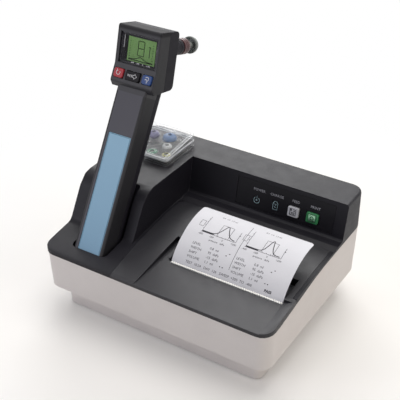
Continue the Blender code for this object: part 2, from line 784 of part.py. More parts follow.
def make_top_cover():
    low = PLINTH_HEIGHT + BASE_WALL
    cover = cover_form(0.0, low)
    show(cover, "top_cover", dark_plastic, base_frame)
    cut_form(cover, 0.0)
    combine(cover, prism(seam_outline(0.0, 0.0), "Z", low - OVERRUN, seam_top()), "DIFFERENCE")
    combine(cover, above_parting(FIT_GAP), "INTERSECT")

    hollow = cover_form(BASE_WALL, low - BASE_WALL)
    tool(hollow, base_frame)
    cut_form(hollow, BASE_WALL)
    combine(hollow, prism(seam_outline(-BASE_WALL, -BASE_WALL), "Z", low - OVERRUN, seam_top()),
            "DIFFERENCE")
    combine(cover, hollow, "DIFFERENCE")

    reach = BASE_TOP / math.cos(PROBE_LEAN)
    floor = PROBE_SEAT - FIT_GAP
    walls = cradle_box(CRADLE_SIDE_GAP + CRADLE_WALL, CRADLE_FRONT_GAP + CRADLE_WALL,
                       CRADLE_REAR_GAP + CRADLE_WALL, floor - CRADLE_WALL, reach,
                       CRADLE_CORNER + CRADLE_WALL)
    tool(walls, probe_frame)
    trim = cover_form(BASE_WALL / 2, -OVERRUN)
    tool(trim, base_frame)
    combine(trim, air_over_arm(BASE_WALL / 2), "DIFFERENCE")
    combine(walls, trim, "INTERSECT")
    combine(cover, walls, "UNION")
    channel = cradle_box(CRADLE_SIDE_GAP, CRADLE_FRONT_GAP, CRADLE_REAR_GAP, floor,
                         reach + OVERRUN, CRADLE_CORNER)
    combine(cover, channel, "DIFFERENCE", probe_frame)
    for x in (-PAD_PITCH / 2, PAD_PITCH / 2):
        hole = rod((x, PAD_DEPTH, floor - OVERRUN), 2 * OVERRUN, PIN_RADIUS + FIT_GAP, "Z", 12)
        combine(cover, hole, "DIFFERENCE", probe_frame)
    combine(cover, panel_box(0.0, -OVERRUN, panel_rear() + FIT_GAP), "DIFFERENCE", face_frame)
    combine(cover, panel_box(PANEL_LEDGE, -OVERRUN, OVERRUN), "DIFFERENCE", face_frame)
    return cover


# Printer cover and what rides on it

def slab_profile(inset, low, low_rear):
    """Side outline of the printer cover, or of its hollow when drawn in by inset."""
    rear = HINGE_REAR_Y + RIM_ROUND
    line = [(share * BASE_DEPTH, deck_z(share * BASE_DEPTH) - inset) for share, _ in deck_shares]
    kept = [(y, z, 0.0) for y, z in line[1:] if y < rear]
    front = (inset, RIM_FRONT - inset, 0.0 if inset else RIM_ROUND)
    return rounded([(inset, low, 0.0), (rear, low_rear, 0.0), (rear, deck_z(rear) - inset, 0.0),
                    *reversed(kept), front])


def right_blend():
    """Wedge that lets the ramp run up into the right rim in front of the tear bar."""
    rows = []
    for y in (-OVERRUN, OUTLET_FRONT_Y + BLEND_SINK):
        rows.append([
            (-HALF_WIDTH + CREASE_X, y, ramp_z(y)),
            (-HALF_WIDTH + CREASE_RIM_X, y, deck_z(y) + FIT_GAP),
            (-HALF_WIDTH + CREASE_RIM_X, y, BASE_TOP),
            (-HALF_WIDTH + CREASE_X, y, BASE_TOP),
        ])
    shape = bmesh.new()
    front, rear = [[shape.verts.new(point) for point in row] for row in rows]
    shape.faces.new(front)
    shape.faces.new(rear[::-1])
    for index in range(4):
        after = (index + 1) % 4
        shape.faces.new((front[after], front[index], rear[index], rear[after]))
    bmesh.ops.recalc_face_normals(shape, faces=shape.faces)
    bmesh.ops.triangulate(shape, faces=shape.faces)
    return mesh_object("blend", shape)


def make_printer_cover():
    floor = PARTING_FRONT + FIT_GAP
    low = PLINTH_HEIGHT
    left = -HALF_WIDTH + SEAM_REAR_X - EDGE_ROUND
    skirt = deck_z(HINGE_REAR_Y) - COVER_SKIRT
    cover = prism(slab_profile(0.0, floor, skirt), "X", left, HALF_WIDTH, EDGE_ROUND)
    show(cover, "printer_cover", dark_plastic, base_frame)
    combine(cover, footprint(0.0, low - OVERRUN, BASE_TOP), "INTERSECT")
    combine(cover, prism(seam_outline(FIT_GAP, HINGE_GAP), "Z", low, BASE_TOP), "INTERSECT")
    case_rim = footprint(-OVERRUN / 2, low, BASE_TOP)
    tool(case_rim, base_frame)
    combine(case_rim, above_parting(FIT_GAP), "DIFFERENCE")
    inset = BASE_WALL + FIT_GAP + BODY_DRAFT / 2
    combine(case_rim, footprint(inset, low - OVERRUN, BASE_TOP + OVERRUN),
            "DIFFERENCE")
    combine(cover, case_rim, "DIFFERENCE")

    wall = COVER_WALL
    hollow = prism(slab_profile(wall, low, low), "X", left, HALF_WIDTH)
    tool(hollow, base_frame)
    combine(hollow, footprint(wall, low - OVERRUN, BASE_TOP), "INTERSECT")
    combine(hollow, prism(seam_outline(wall, HINGE_GAP + wall), "Z", low - OVERRUN, BASE_TOP),
            "INTERSECT")
    ramp_left = -HALF_WIDTH + RAMP_LEFT_X
    ramp_right = -HALF_WIDTH + RAMP_RIGHT_X
    shelf = prism(
        [(-OVERRUN, ramp_z(-OVERRUN) - wall), (RAMP_REAR_Y + wall, ramp_z(RAMP_REAR_Y) - wall),
         (RAMP_REAR_Y + wall, BASE_TOP), (-OVERRUN, BASE_TOP)],
        "X", ramp_left - wall, ramp_right + wall)
    combine(hollow, shelf, "DIFFERENCE")
    combine(cover, hollow, "DIFFERENCE")

    recess = prism(
        [(-OVERRUN, ramp_z(-OVERRUN)), (RAMP_REAR_Y, ramp_z(RAMP_REAR_Y)),
         (RAMP_REAR_Y, BASE_TOP), (-OVERRUN, BASE_TOP)],
        "X", ramp_left, ramp_right)
    combine(cover, recess, "DIFFERENCE")
    combine(cover, right_blend(), "DIFFERENCE")
    outlet = box((-HALF_WIDTH + OUTLET_LEFT_X, OUTLET_FRONT_Y, low),
                 (ramp_right, RAMP_REAR_Y, BASE_TOP))
    combine(cover, outlet, "DIFFERENCE")
    guide_left = -HALF_WIDTH + OUTLET_LEFT_X - GUIDE_THICKNESS
    guide = prism(
        [(OUTLET_FRONT_Y + GUIDE_THICKNESS, ramp_z(0.0)), (RAMP_REAR_Y + BLEND_SINK, ramp_z(0.0)),
         (RAMP_REAR_Y + BLEND_SINK, deck_z(RAMP_REAR_Y) - RIM_ROUND),
         (OUTLET_FRONT_Y + GUIDE_THICKNESS, ramp_z(OUTLET_FRONT_Y) + TEAR_BAR_HEIGHT / 2)],
        "X", guide_left, guide_left + GUIDE_THICKNESS)
    combine(cover, guide, "UNION")
    slot_depth = TEAR_BAR_HEIGHT - TEAR_BAR_PROUD
    slot = box(
        (-HALF_WIDTH + PAPER_LEFT_X - FIT_GAP, OUTLET_FRONT_Y - TEAR_BAR_DEPTH - FIT_GAP,
         ramp_z(OUTLET_FRONT_Y) - slot_depth),
        (-HALF_WIDTH + PAPER_LEFT_X + PAPER_WIDTH + FIT_GAP, OUTLET_FRONT_Y + BLEND_SINK, BASE_TOP))
    combine(cover, slot, "DIFFERENCE")

    y, z = hinge_axis()
    for x in ear_places():
        web = box((x, y - HINGE_EYE_RADIUS, z),
                  (x + HINGE_EAR_WIDTH, y + HINGE_EYE_RADIUS, deck_z(y) - wall + BLEND_SINK))
        combine(cover, web, "UNION")
        eye = rod((x, y, z), HINGE_EAR_WIDTH, HINGE_EYE_RADIUS, "X", 20)
        combine(cover, eye, "UNION")
        hole = rod((x - HINGE_EAR_WIDTH, y, z), 3 * HINGE_EAR_WIDTH, HINGE_PIN_RADIUS + RUN_GAP,
                   "X", 16)
        combine(cover, hole, "DIFFERENCE")
    return move_origin(cover, (0.0, y, z))


def make_tear_bar():
    """Serrated strip at the front of the paper outlet."""
    teeth = int(PAPER_WIDTH / TEAR_TOOTH_PITCH)
    foot = ramp_z(OUTLET_FRONT_Y) - TEAR_BAR_HEIGHT + TEAR_BAR_PROUD + FIT_GAP
    top = foot + TEAR_BAR_HEIGHT - TEAR_TOOTH_HEIGHT
    left = -HALF_WIDTH + PAPER_LEFT_X
    pitch = PAPER_WIDTH / teeth
    outline = [(left, foot), (left + PAPER_WIDTH, foot), (left + PAPER_WIDTH, top)]
    for number in reversed(range(teeth)):
        outline.append((left + (number + 1 / 2) * pitch, top + TEAR_TOOTH_HEIGHT))
        outline.append((left + number * pitch, top))
    bar = prism(outline, "Y", OUTLET_FRONT_Y - TEAR_BAR_DEPTH, OUTLET_FRONT_Y)
    return show(bar, "tear_bar", bright_metal, base_frame)


def make_paper_sheet():
    """Printed strip standing out of the outlet and curling to the rear."""
    foot_y = OUTLET_FRONT_Y + FIT_GAP
    foot_z = ramp_z(OUTLET_FRONT_Y)
    outer = [(foot_y, foot_z - PAPER_TAIL)]
    outer += [(foot_y + across * PAPER_ARCH_LENGTH, foot_z + up * PAPER_ARCH_RISE)
              for across, up in paper_shares]
    inner = []
    for index, point in enumerate(outer):
        before = Vector(outer[max(index - 1, 0)])
        after = Vector(outer[min(index + 1, len(outer) - 1)])
        along = (after - before).normalized()
        inner.append((point[0] + along.y * PAPER_THICKNESS, point[1] - along.x * PAPER_THICKNESS))
    left = -HALF_WIDTH + PAPER_LEFT_X
    sheet = prism(outer + inner[::-1], "X", left, left + PAPER_WIDTH)
    show(sheet, "paper_sheet", paper, base_frame)
    end = foot_y + PAPER_ARCH_LENGTH
    plan = rounded([
        (left - OVERRUN, foot_y - OVERRUN, 0.0),
        (left + PAPER_WIDTH + OVERRUN, foot_y - OVERRUN, 0.0),
        (left + PAPER_WIDTH + OVERRUN, end - PAPER_END_CORNER, 0.0),
        (left + PAPER_WIDTH, end - PAPER_END_CORNER, 0.0),
        (left + PAPER_WIDTH, end + FIT_GAP, PAPER_END_CORNER),
        (left, end + FIT_GAP, PAPER_END_CORNER),
        (left, end - PAPER_END_CORNER, 0.0),
        (left - OVERRUN, end - PAPER_END_CORNER, 0.0),
    ])
    combine(sheet, prism(plan, "Z", 0.0, BASE_TOP), "INTERSECT")
    return sheet


# Printer works

def hinge_axis():
    y = HINGE_REAR_Y - HINGE_SETBACK
    return y, deck_z(y) - HINGE_DROP


def cheek_places():
    """Left sides of the two cheeks of the printer frame."""
    left = -HALF_WIDTH + PAPER_LEFT_X - CHEEK_CLEARANCE - CHEEK_THICKNESS
    right = -HALF_WIDTH + PAPER_LEFT_X + PAPER_WIDTH + CHEEK_CLEARANCE
    return left, right


def ear_places():
    left, right = cheek_places()
    return left + CHEEK_THICKNESS + FIT_GAP, right - FIT_GAP - HINGE_EAR_WIDTH


def frame_floor_z():
    return PLINTH_HEIGHT + BASE_WALL + FIT_GAP


def cheek_outline(low):
    y, z = hinge_axis()
    reach = HINGE_POST_RADIUS
    return rounded([
        (FRAME_FRONT_Y, low, 0.0),
        (FRAME_REAR_Y, low, 0.0),
        (FRAME_REAR_Y, CHEEK_REAR_TOP, 0.0),
        (y + reach, CHEEK_REAR_TOP, 0.0),
        (y + reach, z + reach, reach - FIT_GAP / 10),
        (y - reach, z + reach, reach - FIT_GAP / 10),
        (y - reach, CHEEK_TOP, 0.0),
        (FRAME_FRONT_Y, CHEEK_TOP, 0.0),
    ])


def make_printer_frame():
    """Two cheeks on a floor; the left one reaches down to the case."""
    left, right = cheek_places()
    y, z = hinge_axis()
    low = frame_floor_z()
    frame = prism(cheek_outline(FLOOR_TOP + FIT_GAP), "X", left, left + CHEEK_THICKNESS)
    show(frame, "printer_frame", steel, base_frame)
    floor = box(
        (left + CHEEK_THICKNESS / 2, FRAME_FRONT_Y + FRAME_FLOOR, low + FIT_GAP),
        (right + CHEEK_THICKNESS / 2, FRAME_REAR_Y - FRAME_FLOOR, low + FRAME_FLOOR))
    combine(frame, floor, "UNION")
    combine(frame, prism(cheek_outline(low), "X", right, right + CHEEK_THICKNESS), "UNION")
    reach = right - left + OVERRUN
    holes = [
        (left - OVERRUN, y, z, HINGE_PIN_RADIUS),
        (left - OVERRUN, PLATEN_Y, PLATEN_Z, SHAFT_RADIUS),
        (left - OVERRUN, ROLL_Y, ROLL_Z, SPINDLE_END_RADIUS),
    ]
    for x, hole_y, hole_z, radius in holes:
        combine(frame, rod((x, hole_y, hole_z), reach + OVERRUN, radius + RUN_GAP, "X", 20),
                "DIFFERENCE")
    motor_y, motor_z = motor_axis()
    combine(frame, rod((left - OVERRUN / 2, motor_y, motor_z), OVERRUN, MOTOR_SHAFT_RADIUS + FIT_GAP,
                       "X", 16), "DIFFERENCE")
    return frame


def make_cover_pins():
    left, right = cheek_places()
    y, z = hinge_axis()
    length = CHEEK_THICKNESS + FIT_GAP + HINGE_EAR_WIDTH
    for name, start in (("cover_pin_left", left), ("cover_pin_right", right + CHEEK_THICKNESS - length)):
        show(rod((start, y, z), length, HINGE_PIN_RADIUS, "X", 16), name, steel, base_frame)


def make_platen():
    """Rubber roller on its shaft, with room on the left for the gear."""
    left, right = cheek_places()
    inner_left = left + CHEEK_THICKNESS + FIT_GAP
    inner_right = right - FIT_GAP
    shaft_left = left - FIT_GAP - GEAR_WIDTH
    shaft_right = right + CHEEK_THICKNESS
    roller = turned(
        [(0.0, shaft_right), (SHAFT_RADIUS, shaft_right), (SHAFT_RADIUS, inner_right),
         (PLATEN_RADIUS, inner_right), (PLATEN_RADIUS, inner_left), (SHAFT_RADIUS, inner_left),
         (SHAFT_RADIUS, shaft_left), (0.0, shaft_left)],
        (0.0, PLATEN_Y, PLATEN_Z), "X", 24)
    return show(roller, "platen_roller", rubber, base_frame)


def gear(teeth, bore, phase, length):
    """Gear with straight-sided teeth, standing in for the real tooth form."""
    pitch_radius = GEAR_MODULE * teeth / 2
    tip = pitch_radius + GEAR_MODULE * GEAR_ADDENDUM_SHARE
    root = pitch_radius - GEAR_MODULE * GEAR_DEDENDUM_SHARE
    pitch = 2 * math.pi / teeth
    half = pitch / 4 * (1 - GEAR_BACKLASH_SHARE)
    outline = []
    for number in range(teeth):
        middle = (number + phase) * pitch
        for turn, radius in ((-half - pitch / 10, root), (-half / 2, tip), (half / 2, tip),
                             (half + pitch / 10, root)):
            outline.append((radius * math.cos(middle + turn), radius * math.sin(middle + turn)))
    made = prism(outline, "X", -length / 2, length / 2)
    if bore:
        combine(made, rod((-OVERRUN / 2, 0.0, 0.0), OVERRUN, bore, "X", 16), "DIFFERENCE", made)
    return made


def motor_axis():
    return PLATEN_Y, PLATEN_Z - GEAR_MODULE * (PLATEN_GEAR_TEETH + MOTOR_GEAR_TEETH) / 2


def gear_middle():
    left, _ = cheek_places()
    return left - FIT_GAP - GEAR_WIDTH / 2


def make_gears():
    driven = gear(PLATEN_GEAR_TEETH, SHAFT_RADIUS + FIT_GAP, 1 / 2, GEAR_WIDTH)
    show(driven, "platen_gear", pale_gear, base_frame)
    driven.location = (gear_middle(), PLATEN_Y, PLATEN_Z)
    y, z = motor_axis()
    driver = gear(MOTOR_GEAR_TEETH, 0.0, 0.0, GEAR_WIDTH)
    show(driver, "motor_gear", steel, base_frame)
    driver.location = (gear_middle(), y, z)
    shaft = rod((0.0, 0.0, 0.0), MOTOR_SHAFT_LENGTH, MOTOR_SHAFT_RADIUS, "X", 16)
    combine(driver, shaft, "UNION", driver)


def make_drive_motor():
    left, _ = cheek_places()
    y, z = motor_axis()
    start = left + CHEEK_THICKNESS + FIT_GAP
    motor = rod((start, y, z), MOTOR_LENGTH, MOTOR_RADIUS, "X", 20)
    show(motor, "drive_motor", steel, base_frame)
    bore = MOTOR_SHAFT_LENGTH - GEAR_WIDTH / 2 - CHEEK_THICKNESS - FIT_GAP
    combine(motor, rod((start - OVERRUN, y, z), OVERRUN + bore, MOTOR_SHAFT_RADIUS + FIT_GAP, "X", 16),
            "DIFFERENCE")
    return motor


def make_print_head():
    left, right = cheek_places()
    rear = PLATEN_Y - PLATEN_RADIUS - FIT_GAP
    head = box(
        (left + CHEEK_THICKNESS + FIT_GAP, rear - PRINT_HEAD_DEPTH, PLATEN_Z - PRINT_HEAD_HEIGHT / 2),
        (right - FIT_GAP, rear, PLATEN_Z + PRINT_HEAD_HEIGHT / 2))
    return show(head, "print_head", bright_metal, base_frame)


def make_roll():
    left = -HALF_WIDTH + PAPER_LEFT_X
    right = left + PAPER_WIDTH
    roll = rod((left, ROLL_Y, ROLL_Z), PAPER_WIDTH, ROLL_RADIUS, "X", 32)
    show(roll, "paper_roll", paper, base_frame)
    combine(roll, rod((left - OVERRUN, ROLL_Y, ROLL_Z), PAPER_WIDTH + 2 * OVERRUN, ROLL_BORE_RADIUS,
                      "X", 24), "DIFFERENCE")
    cheek_left, cheek_right = cheek_places()
    spindle = turned(
        [(0.0, cheek_right + CHEEK_THICKNESS), (SPINDLE_END_RADIUS, cheek_right + CHEEK_THICKNESS),
         (SPINDLE_END_RADIUS, right), (SPINDLE_RADIUS, right), (SPINDLE_RADIUS, left),
         (SPINDLE_END_RADIUS, left), (SPINDLE_END_RADIUS, cheek_left), (0.0, cheek_left)],
        (0.0, ROLL_Y, ROLL_Z), "X", 24)
    show(spindle, "roll_spindle", dark_plastic, base_frame)


# Control panel

def panel_x(name):
    """Distance of a key or lamp from the left side of the base."""
    return PANEL_LEFT_X + panel_shares[name] * (PANEL_RIGHT_X - PANEL_LEFT_X)


def panel_box(margin, front, rear):
    return box((-HALF_WIDTH + PANEL_LEFT_X + margin, front, PANEL_FOOT + margin),
               (-HALF_WIDTH + PANEL_RIGHT_X - margin, rear, PANEL_TOP - margin))


def push_box(x, margin, front, rear):
    half_width = PUSH_WIDTH / 2 + margin
    half_height = PUSH_HEIGHT / 2 + margin
    middle = -HALF_WIDTH + x
    return box((middle - half_width, front, PUSH_MIDDLE - half_height),
               (middle + half_width, rear, PUSH_MIDDLE + half_height))


def panel_rear():
    return PANEL_SINK + PANEL_THICKNESS


def board_front():
    return panel_rear() + PANEL_BOARD_GAP


def peg_places():
    inset = PANEL_LEDGE + 2 * PANEL_PEG_RADIUS
    left = -HALF_WIDTH + PANEL_LEFT_X + inset
    right = -HALF_WIDTH + PANEL_RIGHT_X - inset
    return [(x, z) for x in (left, right) for z in (PANEL_FOOT + inset, PANEL_TOP - inset)]


def make_control_panel():
    panel = panel_box(FIT_GAP, PANEL_SINK, panel_rear())
    show(panel, "control_panel", panel_plastic, face_frame)
    for x, z in peg_places():
        peg = rod((x, panel_rear() - PANEL_SINK, z), PANEL_BOARD_GAP + PANEL_SINK - FIT_GAP,
                  PANEL_PEG_RADIUS, "Y", 12)
        combine(panel, peg, "UNION")
    for name in ("feed_button", "print_button"):
        combine(panel, push_box(panel_x(name), FIT_GAP, -OVERRUN, OVERRUN), "DIFFERENCE")
    for x, lamp in lamp_places():
        combine(panel, lamp(x, FIT_GAP, -OVERRUN, OVERRUN), "DIFFERENCE")
    return panel


def round_lamp(x, margin, front, rear):
    return rod((-HALF_WIDTH + x, front, LAMP_MIDDLE), rear - front, LAMP_RADIUS + margin, "Y", 24)


def upright_lamp(x, margin, front, rear):
    half_width = CHARGE_LAMP_WIDTH / 2 + margin
    half_height = CHARGE_LAMP_HEIGHT / 2 + margin
    return box((-HALF_WIDTH + x - half_width, front, LAMP_MIDDLE - half_height),
               (-HALF_WIDTH + x + half_width, rear, LAMP_MIDDLE + half_height))


def lamp_places():
    return (panel_x("power_lamp"), round_lamp), (panel_x("charge_lamp"), upright_lamp)


def make_push_buttons():
    for name, finish in (("feed_button", grey_key), ("print_button", green_key)):
        x = panel_x(name)
        flange_front = panel_rear() + FIT_GAP
        button = push_box(x, 0.0, -PUSH_PROUD, flange_front + PUSH_FLANGE)
        show(button, name, finish, face_frame)
        flange = push_box(x, PUSH_FLANGE, flange_front, flange_front + PUSH_FLANGE)
        combine(button, flange, "UNION")


def make_lamps():
    for name, (x, lamp) in zip(("power_lamp", "charge_lamp"), lamp_places()):
        rear = board_front() - FIT_GAP
        show(lamp(x, 0.0, PANEL_SINK, rear), name, lamp_clear, face_frame)


def make_panel_board():
    front = board_front()
    board = panel_box(PANEL_LEDGE + PANEL_PEG_RADIUS, front, front + PANEL_BOARD_THICKNESS)
    return show(board, "panel_board", board_green, face_frame)


# Probe shells

def offset(corners, inset):
    """Convex outline (a, b, radius) moved inward; the radii shrink with it."""
    if not inset:
        return corners
    count = len(corners)
    area = sum(corners[i][0] * corners[(i + 1) % count][1] - corners[(i + 1) % count][0] * corners[i][1]
               for i in range(count))
    side = math.copysign(inset, area)
    lines = []
    for index in range(count):
        start = Vector(corners[index][:2])
        along = (Vector(corners[(index + 1) % count][:2]) - start).normalized()
        lines.append((start + Vector((-along.y, along.x)) * side, along))
    moved = []
    for index in range(count):
        (p, d), (q, e) = lines[index - 1], lines[index]
        reach = ((q - p).x * e.y - (q - p).y * e.x) / (d.x * e.y - d.y * e.x)
        spot = p + d * reach
        moved.append((spot.x, spot.y, max(corners[index][2] - inset, 0.0)))
    return moved


def handle_block(inset, low, high):
    half = HANDLE_WIDTH / 2
    corners = offset([
        (-half, 0.0, HANDLE_FRONT_ROUND), (half, 0.0, HANDLE_FRONT_ROUND),
        (half, HANDLE_DEPTH, HANDLE_REAR_ROUND), (-half, HANDLE_DEPTH, HANDLE_REAR_ROUND),
    ], inset)
    return prism(rounded(corners), "Z", low, high)


def head_block(inset):
    """Head in the head frame: display facet, key strip, chin, underside, back and top."""
    strip_y = -STRIP_HEIGHT * math.sin(HEAD_TILT)
    strip_z = -STRIP_HEIGHT * math.cos(HEAD_TILT)
    corners = offset([
        (0.0, FACET_HEIGHT, HEAD_FRONT_ROUND),
        (0.0, 0.0, HEAD_REAR_ROUND),
        (strip_y, strip_z, HEAD_FRONT_ROUND),
        (-BLEND_SINK / 2, -CHIN_DROP, 0.0),
        (HEAD_DEPTH, -HEAD_DROP, HEAD_REAR_ROUND),
        (HEAD_DEPTH, FACET_HEIGHT, HEAD_REAR_ROUND),
    ], inset)
    half = HEAD_HALF - inset
    return prism(rounded(corners), "X", -half, half, 0.0 if inset else HEAD_SIDE_ROUND)


def probe_form(inset):
    low = PROBE_SEAT + inset
    form = handle_block(inset, low, HANDLE_END)
    tool(form, probe_frame)
    combine(form, head_block(inset), "UNION", head_frame)
    return form


def split_front(shift):
    """Region in front of the parting between the two probe shells."""
    cos, sin = math.cos(HEAD_TILT), math.sin(HEAD_TILT)

    def place(along, up):
        return (-HEAD_STEP + along * cos - up * sin + shift, HEAD_FOOT + along * sin + up * cos)

    return prism([
        (-OVERRUN, PROBE_SEAT - OVERRUN), (HANDLE_SPLIT + shift, PROBE_SEAT - OVERRUN),
        (HANDLE_SPLIT + shift, HANDLE_TOP), place(HEAD_SPLIT, -HEAD_DROP),
        place(HEAD_SPLIT, FACET_HEIGHT + OVERRUN), (-2 * OVERRUN, HEAD_FOOT + FACET_HEIGHT + OVERRUN),
    ], "X", -HALF_WIDTH, HALF_WIDTH)


def make_probe_shell(name, finish, operation, shift):
    shell = handle_block(0.0, PROBE_SEAT, HANDLE_END)
    show(shell, name, finish, probe_frame)
    combine(shell, head_block(0.0), "UNION", head_frame)
    combine(shell, probe_form(PROBE_WALL), "DIFFERENCE")
    combine(shell, split_front(shift), operation)
    return shell


def window_box(margin, front, rear):
    half = WINDOW_WIDTH / 2 + margin
    return box((WINDOW_SHIFT - half, front, WINDOW_FOOT - margin),
               (WINDOW_SHIFT + half, rear, WINDOW_FOOT + WINDOW_HEIGHT + margin))


def key_places():
    return (
        ("red_button", -KEY_PITCH, KEY_WIDTH, red_key),
        ("select_button", 0.0, ARROW_KEY_WIDTH, dark_plastic),
        ("blue_button", KEY_PITCH, KEY_WIDTH, blue_key),
    )


def key_box(x, width, side, margin, front, rear):
    half = width / 2 + side
    return box((x - half, front, KEY_MIDDLE - KEY_HEIGHT / 2 - margin),
               (x + half, rear, KEY_MIDDLE + KEY_HEIGHT / 2 + margin))


def label_box(margin, front, rear):
    half = LABEL_WIDTH / 2 + margin
    return box((LABEL_SHIFT - half, front, PROBE_SEAT / 2 - margin),
               (LABEL_SHIFT + half, rear, LABEL_TOP + margin))


def make_front_shell():
    shell = make_probe_shell("probe_front_shell", dark_plastic, "INTERSECT", 0.0)
    recess = window_box(FIT_GAP, -OVERRUN, WINDOW_SINK + WINDOW_THICKNESS + FIT_GAP)
    combine(shell, recess, "DIFFERENCE", head_frame)
    opening = window_box(-WINDOW_LEDGE, -OVERRUN, PROBE_WALL + FIT_GAP)
    combine(shell, opening, "DIFFERENCE", head_frame)
    for _, x, width, _ in key_places():
        hole = key_box(x, width, FIT_GAP, FIT_GAP, -OVERRUN, PROBE_WALL - HEAD_STEP + FIT_GAP)
        combine(shell, hole, "DIFFERENCE")
    label = label_box(FIT_GAP, -OVERRUN, LABEL_SINK + LABEL_THICKNESS + FIT_GAP)
    combine(shell, label, "DIFFERENCE")
    for x in (-PAD_PITCH / 2, PAD_PITCH / 2):
        hole = rod((x, PAD_DEPTH, PROBE_SEAT - OVERRUN), 2 * OVERRUN, PAD_RADIUS + FIT_GAP, "Z", 16)
        combine(shell, hole, "DIFFERENCE")
    return shell


def make_rear_shell():
    shell = make_probe_shell("probe_rear_shell", shell_grey, "DIFFERENCE", FIT_GAP)
    hole = rod((0.0, HEAD_DEPTH - 2 * PROBE_WALL, NOSE_HEIGHT), OVERRUN,
               NOSE_SPIGOT_RADIUS + FIT_GAP, "Y", 20)
    combine(shell, hole, "DIFFERENCE", head_frame)
    return shell


def make_keys():
    rear = PROBE_WALL - HEAD_STEP + FIT_GAP
    for name, x, width, finish in key_places():
        key = key_box(x, width, 0.0, 0.0, -HEAD_STEP - KEY_PROUD, rear + KEY_FLANGE)
        show(key, name, finish, probe_frame)
        flange = key_box(x, width, 0.0, KEY_FLANGE, rear, rear + KEY_FLANGE)
        combine(key, flange, "UNION")


def make_display():
    window = window_box(0.0, WINDOW_SINK, WINDOW_SINK + WINDOW_THICKNESS)
    show(window, "display_window", clear_plastic, head_frame)
    behind = PROBE_WALL + FIT_GAP
    board = window_box(-FIT_GAP, behind, behind + DISPLAY_BOARD_THICKNESS)
    show(board, "display_module", lcd_green, head_frame)
    half = LCD_WIDTH / 2
    middle = WINDOW_FOOT + WINDOW_HEIGHT / 2
    lcd = box((LCD_SHIFT - half, WINDOW_SINK + WINDOW_THICKNESS + FIT_GAP, middle - LCD_HEIGHT / 2),
              (LCD_SHIFT + half, behind + FIT_GAP, middle + LCD_HEIGHT / 2))
    combine(board, lcd, "UNION")


def make_label():
    label = label_box(0.0, LABEL_SINK, LABEL_SINK + LABEL_THICKNESS)
    return show(label, "probe_label", label_blue, probe_frame)


# Inside the probe

def make_probe_inside():
    rear = HANDLE_DEPTH - PROBE_WALL - FIT_GAP
    half = HANDLE_WIDTH / 2 - PROBE_WALL - FIT_GAP
    low = PROBE_SEAT + PROBE_WALL + FIT_GAP
    battery = prism(rounded([
        (-half, rear - BATTERY_DEPTH, 0.0), (half, rear - BATTERY_DEPTH, 0.0),
        (half, rear, BATTERY_ROUND), (-half, rear, BATTERY_ROUND)]), "Z", low, low + BATTERY_LENGTH)
    show(battery, "battery_pack", battery_wrap, probe_frame)
    foot = low + BATTERY_LENGTH + FIT_GAP
    board = box((-half, rear - PROBE_BOARD_DEPTH - PROBE_BOARD_THICKNESS, foot),
                (half, rear - PROBE_BOARD_DEPTH, foot + PROBE_BOARD_LENGTH))
    show(board, "probe_board", board_green, probe_frame)
    for x, y, length in ((-half, rear, PROBE_BOARD_DEPTH), (half - BATTERY_ROUND, rear, PROBE_BOARD_DEPTH)):
        block = box((x, y - length - FIT_GAP, foot + BATTERY_ROUND),
                    (x + BATTERY_ROUND, y - BATTERY_ROUND, foot + 2 * BATTERY_ROUND))
        combine(board, block, "UNION")
    pump_y = HEAD_DEPTH - PROBE_WALL - FIT_GAP - PUMP_RADIUS
    pump_z = PUMP_RADIUS + FIT_GAP + PROBE_WALL - HEAD_DROP
    pump = rod((-PUMP_LENGTH / 2, pump_y, pump_z), PUMP_LENGTH, PUMP_RADIUS, "X", 24)
    show(pump, "pump_motor", steel, head_frame)
    key_rear = PROBE_WALL - HEAD_STEP + 2 * FIT_GAP + KEY_FLANGE + KEY_TRAVEL
    side = HEAD_HALF - PROBE_WALL - FIT_GAP
    key_board = box((-side, key_rear, KEY_MIDDLE - KEY_HEIGHT / 2),
                    (side, key_rear + DISPLAY_BOARD_THICKNESS, KEY_MIDDLE + KEY_HEIGHT / 2))
    show(key_board, "key_board", board_green, probe_frame)


def make_contacts():
    floor = PROBE_SEAT - FIT_GAP
    for side, x in (("left", -PAD_PITCH / 2), ("right", PAD_PITCH / 2)):
        pad = rod((x, PAD_DEPTH, PROBE_SEAT), PROBE_WALL, PAD_RADIUS, "Z", 16)
        show(pad, "charge_pad_" + side, brass, probe_frame)
        pin = turned(
            [(0.0, floor), (PIN_RADIUS, floor), (PIN_RADIUS, floor - CRADLE_WALL - FIT_GAP),
             (PIN_HEAD_RADIUS, floor - CRADLE_WALL - FIT_GAP), (PIN_HEAD_RADIUS, floor - PIN_LENGTH),
             (0.0, floor - PIN_LENGTH)],
            (x, PAD_DEPTH, 0.0), sides=16)
        show(pin, "contact_pin_" + side, brass, probe_frame)


# Nose and ear tip

